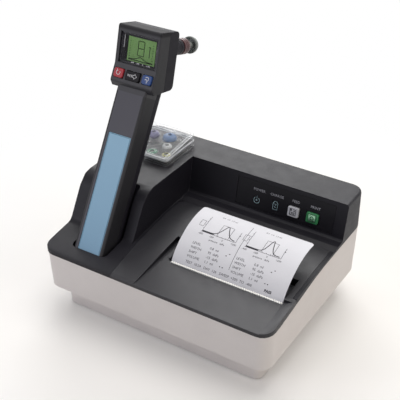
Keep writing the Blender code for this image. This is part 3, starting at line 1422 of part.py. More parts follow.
def make_nose():
    root = HEAD_DEPTH + FIT_GAP
    nose = turned(
        [(0.0, NOSE_LENGTH), (NOSE_END_RADIUS - RIM_ROUND / 2, NOSE_LENGTH),
         (NOSE_END_RADIUS, NOSE_LENGTH - RIM_ROUND / 2), (NOSE_ROOT_RADIUS, RIM_ROUND),
         (NOSE_ROOT_RADIUS, 0.0), (NOSE_SPIGOT_RADIUS, 0.0),
         (NOSE_SPIGOT_RADIUS, -NOSE_SPIGOT_LENGTH), (0.0, -NOSE_SPIGOT_LENGTH)],
        (0.0, root, NOSE_HEIGHT), "Y", 32)
    show(nose, "nose_cone", shell_grey, head_frame)
    collar_start = root + NOSE_LENGTH + FIT_GAP
    collar = turned(
        [(0.0, COLLAR_LENGTH), (COLLAR_RADIUS - RIM_ROUND, COLLAR_LENGTH),
         (COLLAR_RADIUS, COLLAR_LENGTH - RIM_ROUND), (COLLAR_RADIUS, RIM_ROUND),
         (COLLAR_RADIUS - RIM_ROUND, 0.0), (0.0, 0.0)],
        (0.0, collar_start, NOSE_HEIGHT), "Y", 32)
    show(collar, "nose_collar", collar_brown, head_frame)
    cone_start = collar_start + COLLAR_LENGTH + FIT_GAP
    neck = CONE_LENGTH * CONE_NECK_SHARE
    bore_end = CONE_LENGTH - CONE_BORE_DEPTH
    cone = turned(
        [(0.0, bore_end), (CONE_BORE_RADIUS, bore_end), (CONE_BORE_RADIUS, CONE_LENGTH),
         (CONE_END_RADIUS, CONE_LENGTH), (CONE_END_RADIUS, neck), (CONE_ROOT_RADIUS, 0.0), (0.0, 0.0)],
        (0.0, cone_start, NOSE_HEIGHT), "Y", 24)
    show(cone, "probe_cone", white_plastic, head_frame)
    bore = CONE_END_RADIUS + FIT_GAP
    start = CONE_LENGTH - EAR_TIP_LENGTH + FIT_GAP
    shape = [(bore, EAR_TIP_LENGTH), *dome_points(bore, EAR_TIP_RADIUS, EAR_TIP_LENGTH),
             (bore + RIM_ROUND, 0.0), (bore, 0.0)]
    tip = ring(shape, (0.0, cone_start + start, NOSE_HEIGHT), "Y", 32)
    show(tip, "probe_ear_tip", tip_grey, head_frame)


def dome_points(bore, radius, length):
    """Mushroom outline from the end of a tip to the rim of its skirt and back to its stem."""
    height = length * 3 / 4
    points = []
    for number in range(1, 7):
        turn = math.radians(15 * number)
        points.append((bore + (radius - bore) * math.sin(turn),
                       length - height * (1 - math.cos(turn)) * 4 / 5))
    skirt = length - height * 4 / 5 - RIM_ROUND / 2
    points.append((radius - RIM_ROUND / 2, skirt))
    points.append((bore + RIM_ROUND, skirt + RIM_ROUND))
    return points


def ring(profile, location, axis, sides):
    """Closed profile of (radius, height) points spun about an axis."""
    made = turned(profile, location, axis, sides)
    shape = bmesh.new()
    shape.from_mesh(made.data)
    shape.verts.ensure_lookup_table()
    shape.edges.new((shape.verts[-1], shape.verts[0]))
    shape.to_mesh(made.data)
    shape.free()
    return made


# Ear-tip box

def box_place():
    return -HALF_WIDTH + BOX_LEFT_X, BOX_FRONT_Y, BASE_TOP + FIT_GAP


def lid_z(y):
    """Height of the lid's top above the underside of the box."""
    return BOX_LID_FRONT + (BOX_LID_REAR - BOX_LID_FRONT) * (y - BOX_FRONT_Y) / BOX_SIDE


def box_hinge():
    _, y, z = box_place()
    return y + BOX_SIDE + BOX_KNUCKLE_RADIUS + FIT_GAP, z + BOX_TRAY_HEIGHT


def knuckle(start, length, to_y, side):
    """Hinge barrel with a web to the wall that carries it, below the axis or above it."""
    y, z = box_hinge()
    outline = [(to_y, z - side * 2 * FIT_GAP), (to_y, z - side * BOX_KNUCKLE_RADIUS)]
    for number in range(13):
        turn = math.radians(20 * number - 90)
        outline.append((y + BOX_KNUCKLE_RADIUS * math.cos(turn),
                        z + side * BOX_KNUCKLE_RADIUS * math.sin(turn)))
    outline.append((outline[-1][0], outline[0][1]))
    return prism(outline, "X", start, start + length)


def make_tip_box():
    left, front, low = box_place()
    right = left + BOX_SIDE
    rear = front + BOX_SIDE
    top = low + BOX_TRAY_HEIGHT
    tray = box((left, front, low), (right, rear, top), corner=BOX_CORNER)
    show(tray, "tip_tray", clear_plastic, base_frame)
    combine(tray, box((left + BOX_WALL, front + BOX_WALL, low + BOX_WALL),
                      (right - BOX_WALL, rear - BOX_WALL, BASE_TOP + OVERRUN),
                      corner=BOX_CORNER - BOX_WALL), "DIFFERENCE")
    for radius, _, across, along in tip_shares.values():
        spot = (left + across * BOX_SIDE, front + along * BOX_SIDE, low + BOX_WALL - FIT_GAP)
        outer = rod(spot, WELL_HEIGHT, radius * BOX_SIDE + WELL_GAP + WELL_WALL, "Z", 24)
        combine(tray, outer, "UNION")
    for radius, _, across, along in tip_shares.values():
        spot = (left + across * BOX_SIDE, front + along * BOX_SIDE, low + BOX_WALL)
        combine(tray, rod(spot, BOX_TRAY_HEIGHT, radius * BOX_SIDE + WELL_GAP, "Z", 24), "DIFFERENCE")
    width = BOX_SIDE * BOX_KNUCKLE_SHARE
    y, z = box_hinge()
    for start in (left + BOX_KNUCKLE_INSET, right - BOX_KNUCKLE_INSET - width):
        combine(tray, knuckle(start, width, rear - BOX_WALL / 2, 1), "UNION")
    bore = rod((left, y, z), BOX_SIDE, BOX_PIN_RADIUS + RUN_GAP, "X", 12)
    combine(tray, bore, "DIFFERENCE")
    swing = rod((left + BOX_KNUCKLE_INSET + width, y, z), BOX_SIDE - 2 * BOX_KNUCKLE_INSET - 2 * width,
                BOX_KNUCKLE_RADIUS + FIT_GAP, "X", 16)
    combine(tray, swing, "DIFFERENCE")

    lid_low = BOX_TRAY_HEIGHT + FIT_GAP
    shell = prism([
        (front, low + lid_low), (rear, low + lid_low), (rear, low + BOX_LID_REAR),
        (front, low + BOX_LID_FRONT)], "X", left, right)
    show(shell, "tip_lid", clear_lid, base_frame)
    combine(shell, box((left, front, low), (right, rear, low + 2 * BOX_LID_REAR), corner=BOX_CORNER),
            "INTERSECT")
    inner = prism([
        (front + BOX_WALL, low), (rear - BOX_WALL, low),
        (rear - BOX_WALL, low + lid_z(rear - BOX_WALL) - BOX_WALL),
        (front + BOX_WALL, low + lid_z(front + BOX_WALL) - BOX_WALL)],
        "X", left + BOX_WALL, right - BOX_WALL)
    combine(shell, inner, "DIFFERENCE")
    middle = BOX_SIDE - 2 * BOX_KNUCKLE_INSET - 2 * width - 2 * FIT_GAP
    start = left + BOX_KNUCKLE_INSET + width + FIT_GAP
    combine(shell, knuckle(start, middle, rear - BOX_WALL / 2, -1), "UNION")
    combine(shell, rod((left, y, z), BOX_SIDE, BOX_PIN_RADIUS + RUN_GAP, "X", 12), "DIFFERENCE")
    for start in (left + BOX_KNUCKLE_INSET, right - BOX_KNUCKLE_INSET - width):
        clear = rod((start - FIT_GAP, y, z), width + 2 * FIT_GAP, BOX_KNUCKLE_RADIUS + FIT_GAP, "X", 16)
        combine(shell, clear, "DIFFERENCE")
    move_origin(shell, (0.0, y, z))
    pin = rod((left + BOX_KNUCKLE_INSET, y, z), BOX_SIDE - 2 * BOX_KNUCKLE_INSET, BOX_PIN_RADIUS, "X", 12)
    show(pin, "tip_box_pin", steel, base_frame)


def make_spare_tips():
    left, front, low = box_place()
    finishes = (tip_blue, tip_white, tip_green, tip_purple, tip_yellow)
    for (name, (radius, height, across, along)), finish in zip(tip_shares.items(), finishes):
        bore = CONE_END_RADIUS
        length = height * BOX_SIDE
        profile = [(bore, length), *dome_points(bore, radius * BOX_SIDE, length), (bore + RIM_ROUND, 0.0),
                   (bore, 0.0)]
        spot = (left + across * BOX_SIDE, front + along * BOX_SIDE, low + BOX_WALL + FIT_GAP)
        show(ring(profile, spot, "Z", 24), name, finish, base_frame)


# Main board and power inlet

def make_main_board():
    (left, front), (right, rear) = board_corners()
    low = FLOOR_TOP + BOARD_BOSS_HEIGHT + FIT_GAP
    board = box((left, front, low), (right, rear, low + BOARD_THICKNESS))
    show(board, "main_board", board_green, base_frame)
    size = BOARD_BOSS_INSET * 2
    chip = box((left + size, front + size, low + BOARD_THICKNESS - FIT_GAP),
               (left + 2 * size, front + 2 * size, low + 2 * BOARD_THICKNESS))
    combine(board, chip, "UNION")
    return board


def make_power_inlet():
    rear = BASE_DEPTH
    inlet = turned(
        [(0.0, INLET_FLANGE - INLET_BORE_DEPTH), (INLET_BORE_RADIUS, INLET_FLANGE - INLET_BORE_DEPTH),
         (INLET_BORE_RADIUS, INLET_FLANGE), (INLET_RADIUS + FIT_GAP * 2, INLET_FLANGE),
         (INLET_FLANGE_RADIUS, INLET_FLANGE / 2), (INLET_FLANGE_RADIUS, 0.0), (INLET_RADIUS, 0.0),
         (INLET_RADIUS, -INLET_LENGTH), (0.0, -INLET_LENGTH)],
        (-HALF_WIDTH + INLET_X, rear + FIT_GAP, INLET_Z), "Y", 20)
    show(inlet, "power_inlet", dark_plastic, base_frame)
    pin = rod((-HALF_WIDTH + INLET_X, rear - INLET_BORE_DEPTH, INLET_Z), INLET_BORE_DEPTH,
              INLET_PIN_RADIUS, "Y", 12)
    combine(inlet, pin, "UNION")
    return inlet


# Build

empty_scene()
parts = new_collection("portable_tympanometer")
cutters = new_collection("cutters")

pale_plastic = material("pale_plastic", (0.58, 0.55, 0.53), 0.5)
dark_plastic = material("dark_plastic", (0.075, 0.073, 0.080), 0.45)
panel_plastic = material("panel_plastic", (0.03, 0.03, 0.035), 0.35)
shell_grey = material("shell_grey", (0.12, 0.12, 0.13), 0.5)
rubber = material("rubber", (0.03, 0.03, 0.03), 0.9)
paper = material("paper", (0.86, 0.86, 0.86), 0.8)
steel = material("steel", (0.55, 0.55, 0.57), 0.35, metallic=1.0)
bright_metal = material("bright_metal", (0.75, 0.75, 0.77), 0.3, metallic=1.0)
brass = material("brass", (0.75, 0.58, 0.30), 0.3, metallic=1.0)
pale_gear = material("pale_gear", (0.80, 0.79, 0.74), 0.5)
board_green = material("board_green", (0.05, 0.22, 0.10), 0.5)
battery_wrap = material("battery_wrap", (0.10, 0.16, 0.36), 0.4)
lcd_green = material("lcd_green", (0.36, 0.50, 0.24), 0.3)
clear_plastic = material("clear_plastic", (0.85, 0.86, 0.88), 0.1, alpha=0.35)
clear_lid = material("clear_lid", (0.88, 0.89, 0.91), 0.1, alpha=0.3)
lamp_clear = material("lamp_clear", (0.80, 0.82, 0.84), 0.2)
white_plastic = material("white_plastic", (0.85, 0.85, 0.85), 0.3)
collar_brown = material("collar_brown", (0.16, 0.05, 0.04), 0.3)
label_blue = material("label_blue", (0.45, 0.60, 0.72), 0.4)
grey_key = material("grey_key", (0.62, 0.62, 0.64), 0.4)
green_key = material("green_key", (0.02, 0.42, 0.24), 0.35)
red_key = material("red_key", (0.55, 0.03, 0.04), 0.35)
blue_key = material("blue_key", (0.04, 0.10, 0.50), 0.35)
tip_grey = material("tip_grey", (0.45, 0.46, 0.47), 0.5)
tip_blue = material("tip_blue", (0.05, 0.20, 0.60), 0.5)
tip_white = material("tip_white", (0.80, 0.80, 0.82), 0.5)
tip_green = material("tip_green", (0.05, 0.45, 0.20), 0.5)
tip_purple = material("tip_purple", (0.25, 0.10, 0.40), 0.5)
tip_yellow = material("tip_yellow", (0.85, 0.65, 0.08), 0.5)

base_frame = frame_empty("base_frame", (0.0, -TOTAL_DEPTH / 2, FOOT_PROUD))
probe_frame = frame_empty(
    "probe_frame", (-HALF_WIDTH + PROBE_X, PROBE_FRONT_Y, PROBE_DECK_Z), PROBE_LEAN, base_frame)
head_frame = frame_empty("head_frame", (0.0, -HEAD_STEP, HEAD_FOOT), -HEAD_TILT, probe_frame)
face_frame = frame_empty("face_frame", (0.0, TOWER_FOOT_Y, tower_foot_z()), TOWER_LEAN, base_frame)

make_lower_case()
make_base_plate()
make_feet()
make_top_cover()
make_printer_cover()
make_tear_bar()
make_paper_sheet()
make_printer_frame()
make_cover_pins()
make_platen()
make_gears()
make_drive_motor()
make_print_head()
make_roll()
make_control_panel()
make_push_buttons()
make_lamps()
make_panel_board()
make_front_shell()
make_rear_shell()
make_keys()
make_display()
make_label()
make_probe_inside()
make_contacts()
make_nose()
make_tip_box()
make_spare_tips()
make_main_board()
make_power_inlet()
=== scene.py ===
import json
import math

import bmesh
import bpy
from mathutils import Matrix, Vector


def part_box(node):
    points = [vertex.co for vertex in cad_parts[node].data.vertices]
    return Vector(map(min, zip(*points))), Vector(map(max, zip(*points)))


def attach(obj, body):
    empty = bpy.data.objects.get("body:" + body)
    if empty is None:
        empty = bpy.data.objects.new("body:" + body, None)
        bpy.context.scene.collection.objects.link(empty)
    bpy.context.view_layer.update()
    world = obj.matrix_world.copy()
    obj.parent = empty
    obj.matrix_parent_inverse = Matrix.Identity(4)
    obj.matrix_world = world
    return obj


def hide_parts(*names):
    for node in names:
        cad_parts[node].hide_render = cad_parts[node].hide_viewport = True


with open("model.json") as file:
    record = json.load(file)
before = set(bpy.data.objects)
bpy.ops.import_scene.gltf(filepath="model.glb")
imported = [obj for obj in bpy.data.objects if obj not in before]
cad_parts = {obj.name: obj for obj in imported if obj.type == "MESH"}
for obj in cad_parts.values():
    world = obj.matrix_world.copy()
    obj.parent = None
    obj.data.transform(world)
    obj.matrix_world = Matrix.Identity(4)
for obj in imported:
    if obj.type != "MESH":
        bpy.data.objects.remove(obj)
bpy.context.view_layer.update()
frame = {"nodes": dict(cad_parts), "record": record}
nodes = frame["nodes"]
bodyOf = {node: body for body, members in frame["record"]["behaviour"]["bodies"].items()
          for node in members}
mm = 0.001
tiny = 1e-7  # a length that counts as none
merging = 2e-6  # metres within which two points are one
print("frame loaded:", len(nodes), "nodes")

camera = {
    "lens": 83.65, "aim": (0.0, 13.608, 51.5), "distance": 868.393, "right": 14.606, "up": -36.421,
    "azimuth": 32.434, "elevation": 32.956, "roll": -0.344, "nearest": 0.01,
}


def makeCamera():
    turn, rise, roll = (math.radians(camera[key]) for key in ("azimuth", "elevation", "roll"))
    ahead = Vector((-math.sin(turn) * math.cos(rise), math.cos(turn) * math.cos(rise),
                    -math.sin(rise)))
    level = Vector((math.cos(turn), math.sin(turn), 0.0))
    upright = level.cross(ahead)
    right = level * math.cos(roll) + upright * math.sin(roll)
    up = upright * math.cos(roll) - level * math.sin(roll)
    place = (Vector(camera["aim"]) - ahead * camera["distance"] - right * camera["right"]
             - up * camera["up"])
    bpy.ops.object.camera_add(location=place * mm)
    eye = bpy.context.object
    eye.name = "photoCamera"
    facing = Matrix((right, up, -ahead)).transposed().to_4x4()
    eye.matrix_world = Matrix.Translation(place * mm) @ facing
    eye.data.lens = camera["lens"]
    eye.data.clip_start = camera["nearest"]
    bpy.context.scene.camera = eye


stage = {
    "floorSize": 6.0, "floorColour": "#EDEBE8", "floorPatch": 14.0, "floorMottle": 1.03,
    "floorGlow": 0.12, "glowFrom": 0.19, "glowFull": 0.37, "skyColour": "#FFFFFF", "skyFill": 0.27,
    "lampAim": (0.0, 0.0, 0.08),
    # each lamp: place, width, watts, colour
    "lamps": {
        "rearSoftbox": ((-0.75, 1.15, 0.95), 1.1, 16.0, "#FFFFFF"),
        "topSoftbox": ((0.10, 0.25, 1.30), 0.9, 9.5, "#FFFDFA"),
        "frontFill": ((-0.62, -1.05, 0.66), 0.7, 4.2, "#F4F3FF"),
        "sideFill": ((1.25, -0.05, 0.60), 0.8, 4.2, "#FFF4E8"),
    },
}
raysOfBackdrop = ("Is Camera Ray", "Is Glossy Ray", "Is Transmission Ray")


def linear(code):
    # a written colour such as #35353A as the shader's own numbers
    parts = [int(code[start:start + 2], 16) / 255 for start in (1, 3, 5)]
    return (*[part / 12.92 if part < 0.04045 else ((part + 0.055) / 1.055) ** 2.4
              for part in parts], 1.0)


def shade(code, factor):
    # the same colour, lighter or darker
    return (*[min(part * factor, 1.0) for part in linear(code)[:3]], 1.0)


class Flow:
    # one output of a material's node, so that sums on it read as sums
    def __init__(self, recipe, socket):
        self.recipe = recipe
        self.socket = socket

    def maths(self, operation, first, second=None, clamp=False):
        return self.recipe.add("ShaderNodeMath", {"operation": operation, "use_clamp": clamp},
                               {0: first, 1: second})

    def __add__(self, other):
        return self.maths("ADD", self, other)

    def __sub__(self, other):
        return self.maths("SUBTRACT", self, other)

    def __rsub__(self, other):
        return self.maths("SUBTRACT", other, self)

    def __mul__(self, other):
        return self.maths("MULTIPLY", self, other)

    def __truediv__(self, other):
        return self.maths("DIVIDE", self, other)

    def __gt__(self, other):
        return self.maths("GREATER_THAN", self, other)

    def __lt__(self, other):
        return self.maths("LESS_THAN", self, other)

    def __abs__(self):
        return self.maths("ABSOLUTE", self)

    def clipped(self):
        return self.maths("ADD", self, 0.0, clamp=True)

    def above(self, other):
        return self.maths("MAXIMUM", self, other)

    __radd__ = __add__
    __rmul__ = __mul__


class Recipe:
    # a material with one Principled shader, whose sockets take numbers, colours or flows
    def __init__(self, name, **sockets):
        self.material = bpy.data.materials.new(name)
        self.material.use_nodes = True
        self.tree = self.material.node_tree
        self.shader = self.tree.nodes["Principled BSDF"]
        self.set(**sockets)

    def set(self, **sockets):
        for name, value in sockets.items():
            self.feed(self.shader.inputs[name.replace("_", " ")], value)

    def feed(self, socket, value):
        if isinstance(value, Flow):
            self.tree.links.new(value.socket, socket)
        elif isinstance(value, str):
            socket.default_value = linear(value)
        elif value is not None:
            socket.default_value = value

    def add(self, kind, settings=None, sockets=None, output=0):
        node = self.tree.nodes.new(kind)
        for key, value in (settings or {}).items():
            if key == "stops":
                for number, (place, level) in enumerate(value):
                    stop = node.color_ramp.elements[number]
                    stop.position = place
                    stop.color = (level,) * 3 + (1.0,)
            else:
                setattr(node, key, value)
        for key, value in (sockets or {}).items():
            self.feed(node.inputs[key], value)
        return Flow(self, node.outputs[output])

    def place(self, around=None):
        # object coordinates, or a local frame's own when one is given
        spot = self.add("ShaderNodeTexCoord", output="Object")
        if around is None:
            return spot
        return self.add("ShaderNodeMapping", {"vector_type": "TEXTURE"}, {
            "Vector": spot, "Location": around.to_translation(), "Rotation": around.to_euler()})

    def axes(self, spot):
        split = self.add("ShaderNodeSeparateXYZ", sockets={"Vector": spot}).socket.node
        return [Flow(self, split.outputs[number]) for number in range(3)]

    def noise(self, spot, scale, detail=2.0, rough=0.5):
        return self.add("ShaderNodeTexNoise", sockets={
            "Vector": spot, "Scale": scale, "Detail": detail, "Roughness": rough})

    def stretched(self, spot, scales):
        return self.add("ShaderNodeMapping", sockets={"Vector": spot, "Scale": scales})

    def ramp(self, value, *stops):
        return self.add("ShaderNodeValToRGB", {"stops": stops}, {"Fac": value})

    def mix(self, share, first, second):
        return self.add("ShaderNodeMix", {"data_type": "RGBA"}, {0: share, 6: first, 7: second},
                        output=2)

    def bump(self, height, strength, distance):
        self.set(Normal=self.add("ShaderNodeBump", sockets={
            "Height": height, "Strength": strength, "Distance": distance * mm}))

    def edges(self, reach, low=0.0):
        # 0 on flat places, 1 on edges: how far a softened normal leaves the true one
        softened = self.add("ShaderNodeBevel", {"samples": 3}, {"Radius": reach * mm})
        true = self.add("ShaderNodeNewGeometry", output="Normal")
        agreement = self.add("ShaderNodeVectorMath", {"operation": "DOT_PRODUCT"},
                             {0: softened, 1: true}, output="Value")
        return self.ramp(1.0 - agreement, (low, 0.0), (0.12, 1.0))


def makeStage():
    bpy.ops.mesh.primitive_plane_add(size=stage["floorSize"], location=(0.0, 0.0, 0.0))
    floor = bpy.context.object
    floor.name = "floor"
    paint = Recipe("floorPaint", Roughness=0.9)
    paint.set(Base_Color=paint.mix(paint.noise(paint.place(), stage["floorPatch"], 3.0),
                                   stage["floorColour"],
                                   shade(stage["floorColour"], stage["floorMottle"])))
    glow = paint.add("ShaderNodeEmission", sockets={"Color": "#FFFFFF", "Strength": 1.0})
    ray = paint.tree.nodes.new("ShaderNodeLightPath")
    camera, glossy, through = [Flow(paint, ray.outputs[name]) for name in raysOfBackdrop]
    reach = paint.add("ShaderNodeVectorMath", {"operation": "LENGTH"}, {0: paint.place()},
                      output="Value")
    share = camera.above(glossy).above(through) * paint.ramp(
        reach, (stage["glowFrom"], stage["floorGlow"]), (stage["glowFull"], 1.0))
    blend = paint.add("ShaderNodeMixShader", sockets={
        0: share, 1: Flow(paint, paint.shader.outputs[0]), 2: glow})
    paint.feed(paint.tree.nodes["Material Output"].inputs["Surface"], blend)
    floor.data.materials.append(paint.material)

    sky = bpy.data.worlds.new("studioSky")
    sky.use_nodes = True
    bpy.context.scene.world = sky
    tree = sky.node_tree
    backdrop = tree.nodes["Background"]
    backdrop.inputs["Color"].default_value = linear(stage["skyColour"])
    ray = tree.nodes.new("ShaderNodeLightPath")
    widest = ray.outputs[raysOfBackdrop[0]]
    for name in raysOfBackdrop[1:]:
        larger = tree.nodes.new("ShaderNodeMath")
        larger.operation = "MAXIMUM"
        tree.links.new(widest, larger.inputs[0])
        tree.links.new(ray.outputs[name], larger.inputs[1])
        widest = larger.outputs[0]
    level = tree.nodes.new("ShaderNodeMapRange")
    level.inputs["To Min"].default_value = stage["skyFill"]
    tree.links.new(widest, level.inputs["Value"])
    tree.links.new(level.outputs["Result"], backdrop.inputs["Strength"])

    for name, (place, width, watts, colour) in stage["lamps"].items():
        bpy.ops.object.light_add(type="AREA", location=place)
        lamp = bpy.context.object
        lamp.name = name
        lamp.data.size = width
        lamp.data.energy = watts
        lamp.data.color = linear(colour)[:3]
        towards = Vector(stage["lampAim"]) - Vector(place)
        lamp.rotation_euler = towards.to_track_quat("-Z", "Y").to_euler()
    bpy.context.scene.view_settings.view_transform = "Standard"


makeCamera()
makeStage()
print("camera, floor and lights placed")

layout = {
    "base": (0.0, -192.783 / 2, 1.5),
    # each leaning frame: place in its parent, degrees
    "probe": ((-75.2, 17.5, 70.0), -31.0), "head": ((0.0, -3.0, 162.7), 15.5),
    "face": ((0.0, 134.9, 75.1), -12.5), "box": ((-105.0, 112.0, 109.8), 0.0),
}


def leaning(parent, place, degrees=0.0):
    # a frame at a place in its parent, turned about x
    return (parent @ Matrix.Translation(Vector(place) * mm)
            @ Matrix.Rotation(math.radians(degrees), 4, "X"))


baseFrame = Matrix.Translation(Vector(layout["base"]) * mm)
probeFrame = leaning(baseFrame, *layout["probe"])
headFrame = leaning(probeFrame, *layout["head"])
faceFrame = leaning(baseFrame, *layout["face"])
boxFrame = leaning(baseFrame, *layout["box"])


def deselect():
    bpy.ops.object.select_all(action="DESELECT")


def alone(piece):
    deselect()
    piece.select_set(True)
    bpy.context.view_layer.objects.active = piece


def picked(piece, test):
    # selects the edges that pass the test, in edit mode
    shape = bmesh.from_edit_mesh(piece.data)
    bpy.ops.mesh.select_mode(type="EDGE")
    bpy.ops.mesh.select_all(action="DESELECT")
    found = [edge for edge in shape.edges if test(edge)]
    for edge in found:
        edge.select_set(True)
    bmesh.update_edit_mesh(piece.data)
    return found


def modified(piece, kind, **settings):
    alone(piece)
    modifier = piece.modifiers.new(kind.title(), kind)
    for key, value in settings.items():
        setattr(modifier, key, value)
    bpy.ops.object.modifier_apply(modifier=modifier.name)


def smoothed(piece, degrees=40.0, weighted=True):
    alone(piece)
    bpy.ops.object.shade_smooth_by_angle(angle=math.radians(degrees))
    if weighted:
        modified(piece, "WEIGHTED_NORMAL", keep_sharp=True, weight=60)
    return piece


def finished(piece, finish, body, slot=None, *replaces):
    piece.data.materials.clear()
    piece.data.materials.append(finishes[finish])
    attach(piece, body)
    if replaces:
        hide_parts(*replaces)
    return piece


def placed(piece, around):
    # applies the object's own place, then moves the mesh into a local frame
    alone(piece)
    bpy.ops.object.transform_apply()
    piece.data.transform(around)
    piece.data.update()
    return piece


def started(name):
    # names the new primitive, applies its place and opens it
    piece = bpy.context.object
    piece.name = name
    bpy.ops.object.transform_apply()
    bpy.ops.object.mode_set(mode="EDIT")
    bpy.ops.mesh.select_all(action="SELECT")
    return piece


easing = {"flat": 0.6, "corner": 38.0, "smooth": 32.0, "armSteps": 5}  # degrees, and steps round


def refined(node, name, finish, edge, slot, segments=2, rounded=None, radius=0.0):
    # a merged copy of a CAD solid with eased edges; the rounded edges get a wider radius
    piece = bpy.data.objects.new(name, nodes[node].data.copy())
    bpy.context.collection.objects.link(piece)
    alone(piece)
    bpy.ops.object.mode_set(mode="EDIT")
    bpy.ops.mesh.select_all(action="SELECT")
    bpy.ops.mesh.remove_doubles(threshold=merging)
    bpy.ops.mesh.dissolve_limited(angle_limit=math.radians(easing["flat"]))
    if rounded and picked(piece, rounded):
        bpy.ops.mesh.bevel(offset=radius * mm, segments=easing["armSteps"], affect="EDGES",
                           clamp_overlap=True)
    bpy.ops.object.mode_set(mode="OBJECT")
    if edge:
        modified(piece, "BEVEL", width=edge * mm, segments=segments, limit_method="ANGLE",
                 angle_limit=math.radians(easing["corner"]), use_clamp_overlap=True,
                 miter_outer="MITER_ARC")
    smoothed(piece, easing["smooth"])
    return finished(piece, finish, bodyOf[node], slot, node)


def block(name, low, high, around, corner, face):
    # a box in a local frame, its outline rounded as seen from the front, its front edge eased
    low, high = Vector(low) * mm, Vector(high) * mm
    deselect()
    bpy.ops.mesh.primitive_cube_add(size=1.0, location=(low + high) / 2, scale=high - low)
    piece = started(name)
    picked(piece, lambda edge: abs(edge.verts[0].co.y - edge.verts[1].co.y) > tiny)
    bpy.ops.mesh.bevel(offset=corner * mm, segments=5, affect="EDGES")
    picked(piece, lambda edge: all(vert.co.y < low.y + tiny for vert in edge.verts))
    bpy.ops.mesh.bevel(offset=face * mm, segments=3, affect="EDGES")
    bpy.ops.object.mode_set(mode="OBJECT")
    return placed(piece, around)


def turned(name, outline, around, sides=48, fill="NGON"):
    # (radius, height) points drawn round the frame's z, from a disc up, or with fill NOTHING
    # from a bare ring, for an outline that ends where it began
    (radius, height), *others = outline
    deselect()
    bpy.ops.mesh.primitive_circle_add(vertices=sides, radius=radius * mm, fill_type=fill,
                                      location=(0.0, 0.0, height * mm))
    piece = started(name)
    for newRadius, newHeight in others:
        bpy.ops.mesh.extrude_region_move(
            TRANSFORM_OT_translate={"value": (0.0, 0.0, (newHeight - height) * mm)})
        share = newRadius / radius
        bpy.ops.transform.resize(value=(share, share, 1.0),
                                 center_override=(0.0, 0.0, newHeight * mm))
        radius, height = newRadius, newHeight
    bpy.ops.mesh.select_all(action="SELECT")
    bpy.ops.mesh.remove_doubles(threshold=merging)
    bpy.ops.mesh.normals_make_consistent(inside=False)
    bpy.ops.object.mode_set(mode="OBJECT")
    return placed(piece, around)


inkThick = 0.03


def lettered(words, size, place, align="CENTER", bold=0.0):
    # plain words as thin flat letters, lying in the xy plane of the drawing
    deselect()
    bpy.ops.object.text_add(location=(place[0] * mm, place[1] * mm, 0.0))
    text = bpy.context.object.data
    text.body = words
    text.size = size * mm
    text.align_x = align
    text.align_y = "CENTER"
    text.resolution_u = 2
    text.extrude = inkThick * mm / 2
    text.offset = bold * mm
    bpy.ops.object.convert(target="MESH")
    bpy.ops.object.transform_apply()
    return bpy.context.object


def stroked(name, lines, width, thick=inkThick):
    # flat strokes in the xy plane of the drawing: each line is its points, in millimetres
    drawing = bpy.data.curves.new(name, "CURVE")
    drawing.dimensions = "3D"
    drawing.twist_mode = "Z_UP"
    drawing.bevel_depth = width * mm / 2
    drawing.bevel_resolution = 0
    drawing.use_fill_caps = True
    for points in lines:
        closed = math.dist(points[0], points[-1]) < tiny
        points = points[:-1] if closed else points
        spline = drawing.splines.new("POLY")
        spline.points.add(len(points) - 1)
        spline.use_cyclic_u = closed
        for spot, (x, y) in zip(spline.points, points):
            spot.co = (x * mm, y * mm, 0.0, 1.0)
    piece = bpy.data.objects.new(name, drawing)
    bpy.context.collection.objects.link(piece)
    alone(piece)
    bpy.ops.object.convert(target="MESH")
    piece = bpy.context.object
    piece.data.transform(Matrix.Diagonal((1.0, 1.0, thick / width, 1.0)))
    return piece


def joined(name, pieces):
    deselect()
    for piece in pieces:
        piece.select_set(True)
    bpy.context.view_layer.objects.active = pieces[0]
    bpy.ops.object.join()
    pieces[0].name = name
    return pieces[0]


def fronted(piece, around, depth):
    # stands a flat drawing up on a frame's front, its middle plane at that depth
    return placed(piece, leaning(around, (0.0, depth, 0.0), 90.0))


def marked(name, lines, width, around, depth, finish, body, slot=None, thick=inkThick):
    finished(fronted(stroked(name, lines, width, thick), around, depth), finish, body, slot)


def circleLine(x, y, radius, start=0.0, end=360.0, steps=28):
    turns = [math.radians(start + (end - start) * step / steps) for step in range(steps + 1)]
    return [(x + radius * math.cos(turn), y + radius * math.sin(turn)) for turn in turns]


def boxLine(left, low, right, high):
    return [(left, low), (right, low), (right, high), (left, high), (left, low)]


def moulded(name, colour, roughness, grain, grainSize, mottle, wear, specular, wornColour=None,
            coat=0.0):
    # spark-textured moulded plastic with faint handling marks
    made = Recipe(name, Specular_IOR_Level=specular, Coat_Weight=coat, Coat_Roughness=0.15)
    spot = made.place()
    cloud = made.noise(spot, 22.0, 5.0, 0.6)
    grit = made.noise(spot, 1 / (grainSize * mm), 2.0, 0.6)
    fine = made.noise(spot, 2.6 / (grainSize * mm), 1.0)
    rub = made.noise(made.stretched(spot, (1.0, 1.0, 3.0)), 90.0, 4.0, 0.7)
    tone = made.mix(made.ramp(cloud * 0.7 + grit * 0.3, (0.35, 0.0), (0.65, 1.0)),
                    shade(colour, 1 - mottle), shade(colour, 1 + mottle))
    if wear:
        worn = made.edges(0.5, 0.01) * made.ramp(rub, (0.38, 0.15), (0.62, 1.0)) * wear
        tone = made.mix(worn.clipped(), tone, wornColour or shade(colour, 2.2))
    polish = made.ramp(rub, (0.3, 0.0), (0.7, 1.0)) * 0.10
    made.set(Base_Color=tone, Roughness=(roughness - 0.06 + polish + grit * 0.04).clipped())
    made.bump(grit * 0.6 + fine * 0.4, grain, 0.12)
    return made.material


